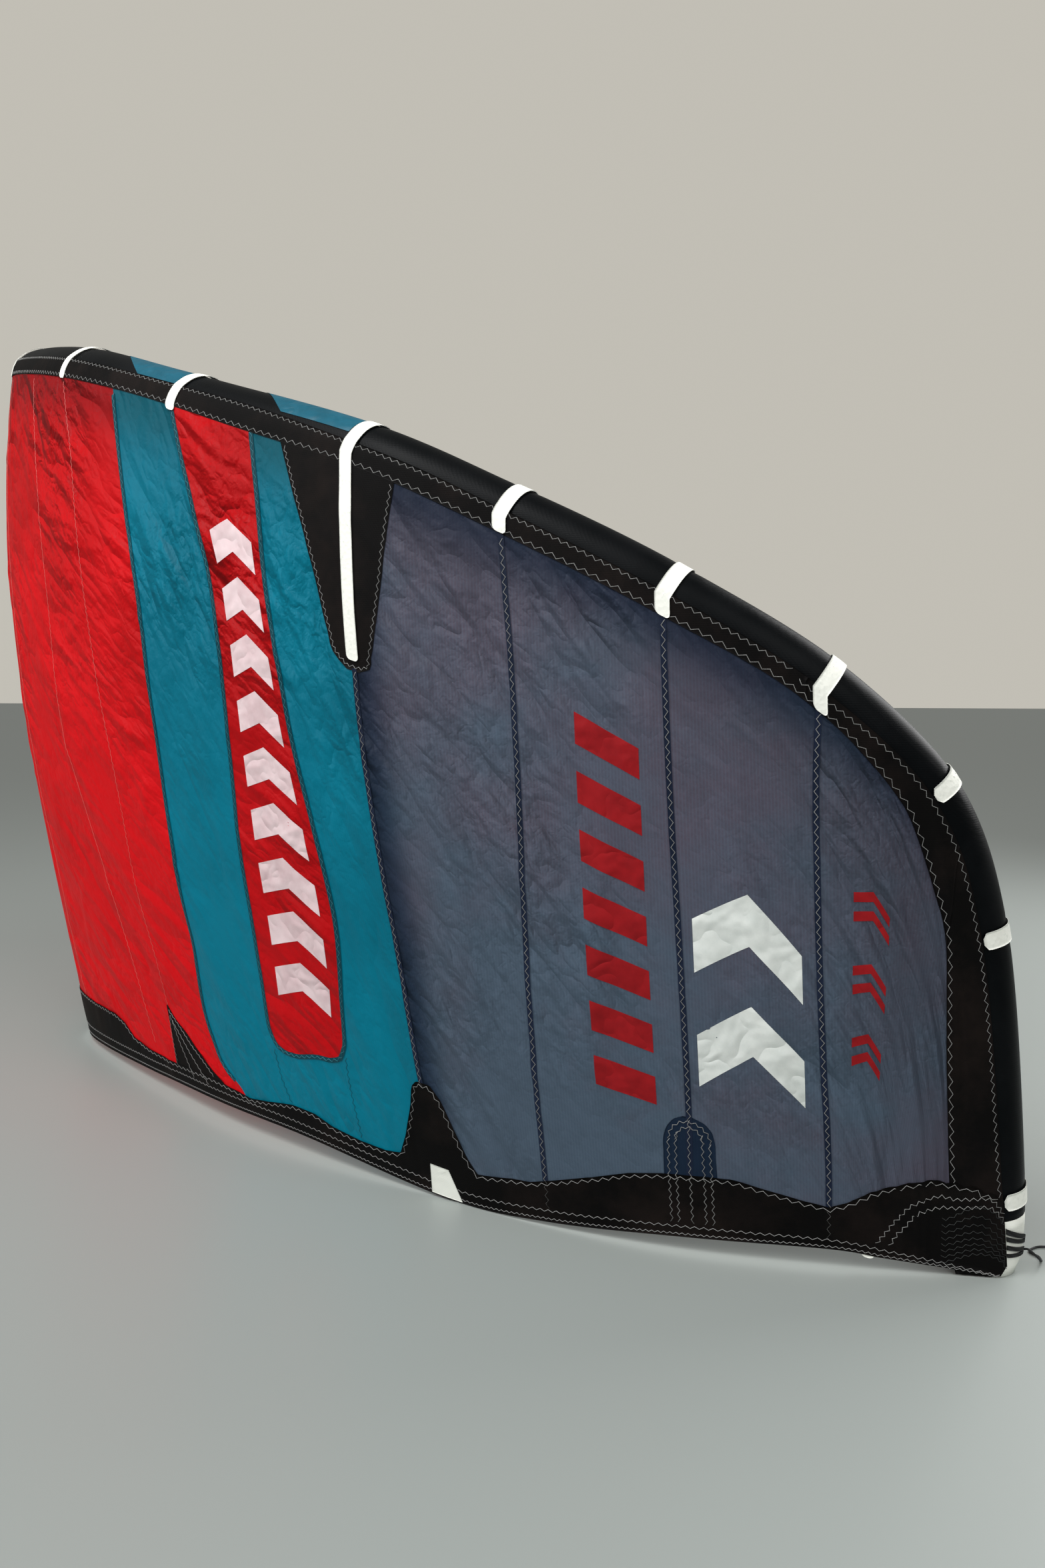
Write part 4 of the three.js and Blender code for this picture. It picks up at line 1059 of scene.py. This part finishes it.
# The panel seams, the two lines below the insert, and three lines down the red panel.
SEAM_LINES = [  # thread, stations and depths, pitch, reach and lift
    *(("grey", down_seam(seam, top, bottom), 0.0145, 0.0055, SEAM_TAPE_LIFT + 0.0002)
      for seam, top, bottom in ((STRUT_SEAM, 0.285, 0.84), (RIB_1, 0.03, 0.978),
                                (RIB_2, 0.035, 0.8), (RIB_3, 0.04, 0.978))),
    ("teal", down_seam(RED_EDGE, 0.01, 0.955), 0.0145, 0.005, SEAM_TAPE_LIFT),
    ("teal", insert_outline(), 0.0145, 0.005, SEAM_TAPE_LIFT),
    ("dark", down_seam(INSERT_LEFT, 0.88, 0.955), 0.013, 0.0045, 0.0),
    ("dark", down_seam(INSERT_RIGHT, 0.845, 0.962), 0.013, 0.0045, 0.0),
]
for colour, (q, depth), pitch, reach, lift in SEAM_LINES:
    sew_on_cloth(colour, q, depth, pitch, reach, lift)
RED_LINES = [
    [(0, 2.0), (0.106, 2.09), (0.2, 2.09), (0.317, 2.08), (0.46, 2.05), (0.534, 2.03),
     (0.63, 1.99), (0.71, 1.96), (0.82, 1.93), (0.88, 1.91)],
    [(0, 1.58), (0.13, 1.64), (0.5, 1.62), (0.87, 1.71), (0.95, 1.71)],
    [(0, 1.0), (0.3, 1.03), (0.6, 1.02), (0.93, 1.05)],
]
for row in RED_LINES:
    sew_on_cloth("pink", *down_seam(row, 0.01, row[-1][0]), pitch=0.014, reach=0.004, lift=0.0)

# White polyester tape is sewn round each joint of the tube, and once between the centre and the
# first joint. Its lower end laps over the strip onto the canopy, and the ones at the struts run on
# down their patches.
TAPE_WIDTH = 0.025
TAPE_CORNER = 0.008
TAPE_THICK = 0.0007
TAPE_OVER_STRIP = 0.0034
TAPE_ON_TUBE = 0.0022
TAPE_LIFT = 0.0026
TAPE_END = 292.5  # degrees round the tube, down on its hollow side
TAPE_TO = {0: 180, 4: 180}  # the two at the struts stop at the strut
TAPE_STEP = 0.008  # metres between rows on the cloth
TAPE_TURN = 6.0  # degrees between rows on the tube
TAPE_MIDDLE, TAPE_EDGE = 4, 6  # columns
TAPE_CLEAR = 0.0006  # metres off the floor
# How far each tape runs down the cloth, as a depth at its station
TAPE_DEPTH = {0: 0.27, 0.95: 0.004, 2: 0.004, 3: 0.009, 4: 0.27, 5: 0.022, 6: 0.03, 7: 0.036}
LAST_OVER_CLOTH = 7
TAPE_COLUMNS = np.linspace(-1, 1, 9)


def tape_grid(station):
    """Rows of a tape from its rounded lower end over the tube, with distance along and across."""
    seam = STRUT_SEAM if station == 4 else [(0, station), (1, station)]
    per_metre = 1 / np.linalg.norm(on_edge(LEADING, float(station), True))
    rows, widths = [], []
    deepest = TAPE_DEPTH.get(station, 0)
    tall = float(laid_flat(np.array(float(station)), 1.0)[1])
    if station <= LAST_OVER_CLOTH:
        for s in np.concatenate([TAPE_CORNER * (1 - np.cos(np.linspace(0, np.pi / 2, 7))),
                                 np.arange(TAPE_CORNER + 0.006, deepest * tall, TAPE_STEP)]):
            depth = deepest - s / tall
            if depth < 0.001:
                continue
            inset = TAPE_CORNER - math.sqrt(max(TAPE_CORNER**2 - max(TAPE_CORNER - s, 0) ** 2, 0))
            wide = TAPE_WIDTH / 2 - inset
            q = float(smooth(seam, depth)) + TAPE_COLUMNS * wide * per_metre
            rows.append(cloth(q, depth + 0 * q, TAPE_LIFT))
            widths.append(wide)
    high = float(smooth(STRIP_ON_TUBE, station))
    start = 0 if station <= LAST_OVER_CLOTH else high + 2
    for degrees in np.arange(start, TAPE_TO.get(station, TAPE_END) + 1, TAPE_TURN):
        share = min(max((degrees - high) / 8, 0), 1)
        height = TAPE_OVER_STRIP + (TAPE_ON_TUBE - TAPE_OVER_STRIP) * share
        s = math.radians(degrees - start) * float(at_station(2, station))
        inset = 0
        if station > LAST_OVER_CLOTH and s < TAPE_CORNER:
            inset = TAPE_CORNER - math.sqrt(TAPE_CORNER**2 - (TAPE_CORNER - s) ** 2)
        wide = TAPE_WIDTH / 2 - inset
        rows.append(on_tube(station + TAPE_COLUMNS * wide * per_metre, degrees, height))
        widths.append(wide)
    grid = np.array(rows)
    grid[..., 2] = np.maximum(grid[..., 2], TAPE_CLEAR)
    steps = np.linalg.norm(np.diff(grid[:, TAPE_MIDDLE], axis=0), axis=1)
    run = np.concatenate([[0], np.cumsum(steps)])
    return grid, np.array(widths)[:, None] * TAPE_COLUMNS, run[:, None] + 0 * TAPE_COLUMNS


def speckled_white(name):
    """Polyester tape: matt white, a little crinkled by its stitching, and speckled grey where dirt
    has settled in the needle holes and folds."""
    material, tree = start_material(name)
    place = add(tree, "TexCoord").outputs["Object"]
    spots = add(tree, "TexNoise", {"Vector": place, "Scale": 210.0, "Detail": 5.0,
                                   "Roughness": 0.7})
    dirt = add(tree, "MapRange", {"Value": spots.outputs["Fac"], "From Min": 0.55,
                                  "From Max": 0.72})
    clouds = add(tree, "TexNoise", {"Vector": place, "Scale": 24.0, "Detail": 3.0})
    patchy = add(tree, "MapRange", {"Value": clouds.outputs["Fac"], "From Min": 0.42,
                                    "From Max": 0.62, "To Min": 0.1, "To Max": 0.75})
    share = add(tree, "Math", {0: dirt.outputs["Result"], 1: patchy.outputs["Result"]},
                operation="MULTIPLY")
    tone = add(tree, "MixRGB", {"Fac": share.outputs["Value"], "Color1": linear("eff0e8"),
                                "Color2": linear("b3bdb4")})
    crinkle = add(tree, "TexVoronoi", {"Vector": place, "Scale": 140.0}, feature="F1")
    raised = add(tree, "Bump", {"Height": crinkle.outputs["Distance"], "Strength": 0.4,
                                "Distance": 0.0012})
    surface = add(tree, "BsdfPrincipled", {"Base Color": tone.outputs["Color"], "Roughness": 0.62,
                                           "IOR": 1.57, "Specular IOR Level": 0.3,
                                           "Normal": raised.outputs["Normal"]})
    finish_material(tree, surface.outputs["BSDF"])
    return material


tape_cloth = speckled_white("white polyester tape")
TAPED = {0.95: 0, 2: 1, 3: 2, 4: 3, 5: 4, 6: 5, 7: 6, 8: 7, 9: 8, 10: 9}  # station: number
TAPE_PITCH = 0.013
TAPE_SWING = 0.9  # of the way from the middle to the thread's edge column
TAPE_THREAD_INSET = 0.004
for station, number in [(0, None), *TAPED.items()]:
    grid, across, run = tape_grid(station)
    length = run[-1, TAPE_MIDDLE]
    count = int(round(length / (TAPE_PITCH / 2)))
    at = np.linspace(TAPE_THREAD_INSET, length - TAPE_THREAD_INSET, count + 1)
    middle, edge = (np.column_stack([np.interp(at, run[:, 0], grid[:, column, i])
                                     for i in range(3)]) for column in (TAPE_MIDDLE, TAPE_EDGE))
    normal = unit(np.cross(np.gradient(middle, axis=0), edge - middle))
    from_tube = middle - tube_frame(np.array(float(station)))[0]
    normal = normal * np.sign(np.sum(normal * from_tube, -1, keepdims=True))
    swing = TAPE_SWING * (-1.0) ** np.arange(count + 1)
    sew("white", middle + (edge - middle) * swing[:, None] + normal * LIE, normal, TAPE_PITCH,
        reach=0.005)
    for side in ("near", "far") if station else ("near",):
        piece = f"tape_{number}_{side}_cover" if station else "tape_centre_cover"
        if not station:
            mirrored = on_side(grid, "far")[:, ::-1]
            grid = np.concatenate([mirrored[:, :TAPE_MIDDLE], grid[:, TAPE_MIDDLE:]], axis=1)
        tape = make_sheet(piece, grid, side, tape_cloth, (across, run), TAPE_THICK)
        if number != 0:  # the one before the first joint has no solid of its own
            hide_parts(f"tape_{side}_{number}" if station else "tape_centre")
        trim[f"leading_edge_strip_{side}"].append(tape)

# Plain marks are screen printed on the cloth: pale chevrons up the insert, red bars, two broad
# white chevrons and small red ones on the slate panels, and teal blocks on the tube.
PRINT_LIFT = 0.0006


def screen_ink(name, colour, deep, through, roughness):
    """Screen ink soaks into the weave: flat colour, worn thin along the creases."""
    material, tree = start_material(name)
    place = add(tree, "TexCoord").outputs["Object"]
    worn = add(tree, "TexNoise", {"Vector": place, "Scale": 18.0, "Detail": 6.0,
                                  "Roughness": 0.7})
    share = add(tree, "MapRange", {"Value": worn.outputs["Fac"], "From Min": 0.4,
                                   "From Max": 0.7})
    tone = add(tree, "MixRGB", {"Fac": share.outputs["Result"], "Color1": linear(colour),
                                "Color2": linear(deep)})
    raised = add(tree, "Bump", {"Height": folded_noise(tree, place, 14.0), "Strength": 0.5,
                                "Distance": 0.03})
    front = add(tree, "BsdfPrincipled", {"Base Color": tone.outputs["Color"],
                                         "Roughness": roughness, "Specular IOR Level": 0.14,
                                         "Normal": raised.outputs["Normal"]})
    passed = add(tree, "BsdfTranslucent", {"Color": tone.outputs["Color"]})
    mixed = add(tree, "MixShader", {"Fac": through, 1: front.outputs["BSDF"],
                                    2: passed.outputs["BSDF"]})
    finish_material(tree, mixed.outputs["Shader"])
    return material


pale_ink = screen_ink("pale screen print", "efd9dc", "e2c4c8", through=0.15, roughness=0.5)
white_ink = screen_ink("white screen print", "e8ece8", "d6dcd8", through=0.1, roughness=0.5)
red_ink = screen_ink("red screen print", "ab1c22", "92181e", through=0.25, roughness=0.5)
teal_ink = screen_ink("teal screen print", "15586c", "124c5d", through=0.0, roughness=0.4)


def print_mark(left, right, top, tall, point, on_insert):
    """A bar or chevron between two stations, or two shares of the insert's width. point is how
    far a chevron's middle stands above its ends, and below 0 it is a bar's lean."""
    s, t = np.meshgrid(np.linspace(0, 1, 15), np.linspace(0, 1, 9))
    depth = top + tall * t + abs(point) * (np.abs(2 * s - 1) if point > 0 else s)
    if on_insert:
        sides = smooth(INSERT_LEFT, depth), smooth(INSERT_RIGHT, depth)
        left, right = (sides[0] * (1 - at) + sides[1] * at for at in (left, right))
    return left + (right - left) * s, depth


PRINTS = [  # piece, left and right edge, depths of their tops, height, point, lift under the
    # ink, ink, slot, panel
    ("chevron", 0.22, 0.86, [0.135 + 0.074 * i for i in range(9)], 0.042, 0.022, INSERT_LIFT,
     pale_ink, "white_tape", "teal_outer_panel"),
    ("bar", 5.44, 5.83, [0.225 + 0.083 * i for i in range(7)], 0.045, -0.016, 0.0, red_ink,
     "red_canopy", "grey_panel_2"),
    ("broad_chevron", 6.12, 6.82, [0.40 + 0.185 * i for i in range(2)], 0.085, 0.07, 0.0,
     white_ink, "white_tape", "grey_panel_3"),
    ("small_chevron", 7.25, 7.62, [0.285 + 0.135 * i + 0.035 * j for i in range(3) for j in (0, 1)],
     0.018, 0.024, 0.0, red_ink, "red_canopy", "grey_panel_4"),
]
marks = []
for name, left, right, tops, tall, point, base, material, slot, panel in PRINTS:
    for top in tops:
        q, depth = print_mark(left, right, top, tall, point, on_insert=name == "chevron")
        marks.append((name, q, depth, base, material, slot, panel))
for number, (name, q, depth, base, material, slot, panel) in enumerate(marks, 1):
    for side in ("near", "far"):
        mark = make_sheet(f"{name}_{number}_{side}", cloth(q, depth, base + PRINT_LIFT), side,
                          material, laid_flat(q, depth))
        trim[f"{panel}_{side}"].append(mark)
TUBE_BLOCKS = [(2.66, 2.2, 2.965), (3.59, 3.3, 3.955)]  # stations: left below and above, right
BLOCK_FROM, BLOCK_TURN = 32.5, 118  # degrees round the tube
BLOCK_SLANT = 1.6  # the left edge slants over the first 1 / 1.6 of that turn
BLOCK_LIFT = 0.0007
for number, (low_left, high_left, right) in enumerate(TUBE_BLOCKS, 1):
    s, t = np.meshgrid(np.linspace(0, 1, 24), np.linspace(0, 1, 24))
    degrees = BLOCK_FROM + BLOCK_TURN * t
    left = low_left + (high_left - low_left) * np.minimum(t * BLOCK_SLANT, 1)
    q = left + (right - left) * s
    for side in ("near", "far"):
        block = make_sheet(f"tube_block_{number}_{side}", on_tube(q, degrees, BLOCK_LIFT), side,
                           teal_ink, (0.3 * q, 0.06 * np.radians(degrees)))
        trim[f"leading_edge_strip_{side}"].append(block)

# Two loops of flat black webbing are sewn under the strip at the near tip and lie on the cap:
# an open one, and below it a narrow one that holds the pigtail.
WEBBING_THICK = 0.002
WEBBING_HEIGHT = 0.0027
LOOPS = [  # node, station, slant in stations, gap between its legs at the strip and at the end,
    # and the width of the webbing, in metres
    ("webbing_upper_near", 10.25, 0.2, 0.0118, 0.0108, 0.0082),
    ("webbing_lower_near", 10.5, 0.17, 0.0125, 0.0058, 0.006),
]
LOOP_FROM, LOOP_TO = 3.0, 62.0  # degrees round the tube
LOOP_SLANT_TURN = 67.5  # the degrees that the slant is measured over
LOOP_CLEAR = 0.003  # metres off the floor
WEBBING_RIBS = 0.0035  # the real ribs are 1 mm apart, drawn coarser so that they show
webbing, tree = start_material("black polyester webbing")
place = add(tree, "TexCoord").outputs["Object"]
ribs = add(tree, "TexWave", {"Vector": place, "Scale": WAVE_REPEAT / WEBBING_RIBS,
                             "Distortion": 0.4}, bands_direction="DIAGONAL")
tone = add(tree, "MixRGB", {"Fac": ribs.outputs["Fac"], "Color1": linear("09090a"),
                            "Color2": linear("1e1f21")})
raised = add(tree, "Bump", {"Height": ribs.outputs["Fac"], "Strength": 0.5, "Distance": 0.0004})
surface = add(tree, "BsdfPrincipled", {"Base Color": tone.outputs["Color"], "Roughness": 0.7,
                                       "Specular IOR Level": 0.3,
                                       "Normal": raised.outputs["Normal"]})
finish_material(tree, surface.outputs["BSDF"])
for node, station, slant, gap_start, gap_end, wide in LOOPS:
    per_metre = 1 / np.linalg.norm(on_edge(LEADING, station, True))
    radius = float(at_station(2, station))
    long = math.radians(LOOP_TO - LOOP_FROM) * radius - gap_end / 2 - wide / 2
    legs = np.linspace(0, 1, 12)
    bend = np.linspace(-np.pi / 2, np.pi / 2, 13)[1:-1]
    run = np.concatenate([legs * long, long + gap_end / 2 * np.cos(bend), legs[::-1] * long])
    apart = (gap_start + (gap_end - gap_start) * legs) / 2
    off = np.concatenate([-apart, gap_end / 2 * np.sin(bend), apart[::-1]])
    path = np.column_stack([run, off])
    ahead = unit(np.gradient(path, axis=0))
    beside = np.column_stack([-ahead[:, 1], ahead[:, 0]])
    band = path[:, None] + beside[:, None] * (wide * np.linspace(-0.5, 0.5, 4))[None, :, None]
    degrees = LOOP_FROM + np.degrees(band[..., 0] / radius)
    q = station + slant * degrees / LOOP_SLANT_TURN + band[..., 1] * per_metre
    outer = on_tube(q, degrees, WEBBING_HEIGHT)
    outer[..., 2] = np.maximum(outer[..., 2], LOOP_CLEAR)
    loop = make_sheet(node.replace("webbing", "loop"), outer[:, ::-1], "near", webbing,
                      (band[..., 0], band[..., 1]), WEBBING_THICK)
    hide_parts(node)
    trim["tip_strip_near"].append(loop)

# A small tab of the white tape is sewn into the hem beside the tip, and hangs down with a
# rounded end.
TAB_FROM, TAB_TO = 7.49, 7.86  # stations
TAB_MIDDLE, TAB_HALF = 7.675, 0.185
TAB_DROP = 0.012
TAB_CLEAR = 0.001  # metres off the floor
TAB_THICK = 0.0006
q, t = np.meshgrid(np.linspace(TAB_FROM, TAB_TO, 12), np.linspace(0, 1, 7))
drop = TAB_DROP * t * np.maximum(1 - ((q - TAB_MIDDLE) / TAB_HALF) ** 2, 0) ** 0.25
tab_points = cloth(q, 0.99 + 0 * q, 0.0004, creased=False) - drop[..., None] * [0, 0, 1.0]
tab_points[..., 2] = np.maximum(tab_points[..., 2], TAB_CLEAR)
for side in ("near", "far"):
    tab = make_sheet(f"hem_tab_{side}", tab_points, side, tape_cloth,
                     (0.08 * q, drop), TAB_THICK)
    trim[f"trailing_edge_band_{side}"].append(tab)

# All the stitching of one colour on one half becomes one piece, made of closed threads.
for colour, (material, panel, sewn) in threads.items():
    points, faces, count = [], [], 0
    for rings in sewn:
        for r in range(len(rings) - 1):
            a = count + 4 * r
            faces += [(a + i, a + (i + 1) % 4, a + 4 + (i + 1) % 4, a + 4 + i) for i in range(4)]
        faces.append((count + 3, count + 2, count + 1, count))
        count += 4 * len(rings)
        faces.append((count - 4, count - 3, count - 2, count - 1))
        points.append(rings.reshape(-1, 3))
    points = np.vstack(points)
    for side in ("near", "far"):
        thread = make_piece(f"{colour}_stitching_{side}", on_side(points, side),
                            faces if side == "near" else [face[::-1] for face in faces],
                            material)
        trim[f"{panel}_{side}"].append(thread)

# The kite stands on a plain pale sealed floor, matt with a faint gloss, in soft light from above,
# from both sides and into its hollow.
FLOOR_REACH = 40
floor_paint, tree = start_material("pale sealed floor")
floor_shader = add(tree, "BsdfPrincipled", {"Base Color": linear("949a97"), "Roughness": 0.42,
                                            "Specular IOR Level": 0.35})
finish_material(tree, floor_shader.outputs["BSDF"])
mesh = bpy.data.meshes.new("floor")
corners = [(-1, -1), (1, -1), (1, 1), (-1, 1)]
mesh.from_pydata([(FLOOR_REACH * x, FLOOR_REACH * y, 0) for x, y in corners], [], [(0, 1, 2, 3)])
mesh.materials.append(floor_paint)
floor = bpy.data.objects.new("floor", mesh)
bpy.context.collection.objects.link(floor)

LIGHTS = [  # name, place, what it points at, size and power
    ("ceiling", (2.4, -1.6, 4.4), (0.7, -0.1, 0.7), 2.0, 125),
    ("window", (2.0, -4.2, 2.4), (0.6, -0.2, 0.7), 2.2, 60),
    ("room", (4.2, 2.2, 3.4), (1.0, 0.4, 0.6), 2.6, 50),
    ("hollow side", (-0.6, 3.2, 2.4), (0.8, 0.2, 0.6), 2.4, 90),
]
for name, place, aim, size, power in LIGHTS:
    light = bpy.data.lights.new(name, "AREA")
    light.size, light.energy = size, power
    lamp = bpy.data.objects.new(name, light)
    beam = unit(np.array(place) - np.array(aim))
    beside = unit(np.cross([0, 0, 1], beam))
    spun = np.column_stack([beside, np.cross(beam, beside), beam, place])
    lamp.matrix_world = Matrix([*spun.tolist(), [0, 0, 0, 1]])
    bpy.context.collection.objects.link(lamp)
# One wide, even light keeps the floor as pale far off as it is under the kite.
EVEN_POWER, EVEN_SPREAD = 1.1, 1.4
EVEN_TILT = (math.radians(18), math.radians(38), 0)
light = bpy.data.lights.new("even light", "SUN")
light.energy, light.angle = EVEN_POWER, EVEN_SPREAD
lamp = bpy.data.objects.new("even light", light)
lamp.rotation_euler = EVEN_TILT
bpy.context.collection.objects.link(lamp)
bpy.context.scene.view_settings.view_transform = "Standard"  # true cloth colours
world = bpy.data.worlds.new("studio")
world.use_nodes = True
tree = world.node_tree
tree.nodes.clear()
seen = add(tree, "LightPath")
walls = add(tree, "Background", {"Color": linear("e3dfd4"), "Strength": 0.7})
soft = add(tree, "Background", {"Color": linear("e3e1da"), "Strength": 0.34})
both = add(tree, "MixShader", {"Fac": seen.outputs["Is Camera Ray"], 1: soft.outputs["Background"],
                               2: walls.outputs["Background"]})
add(tree, "OutputWorld", {"Surface": both.outputs["Shader"]})
bpy.context.scene.world = world
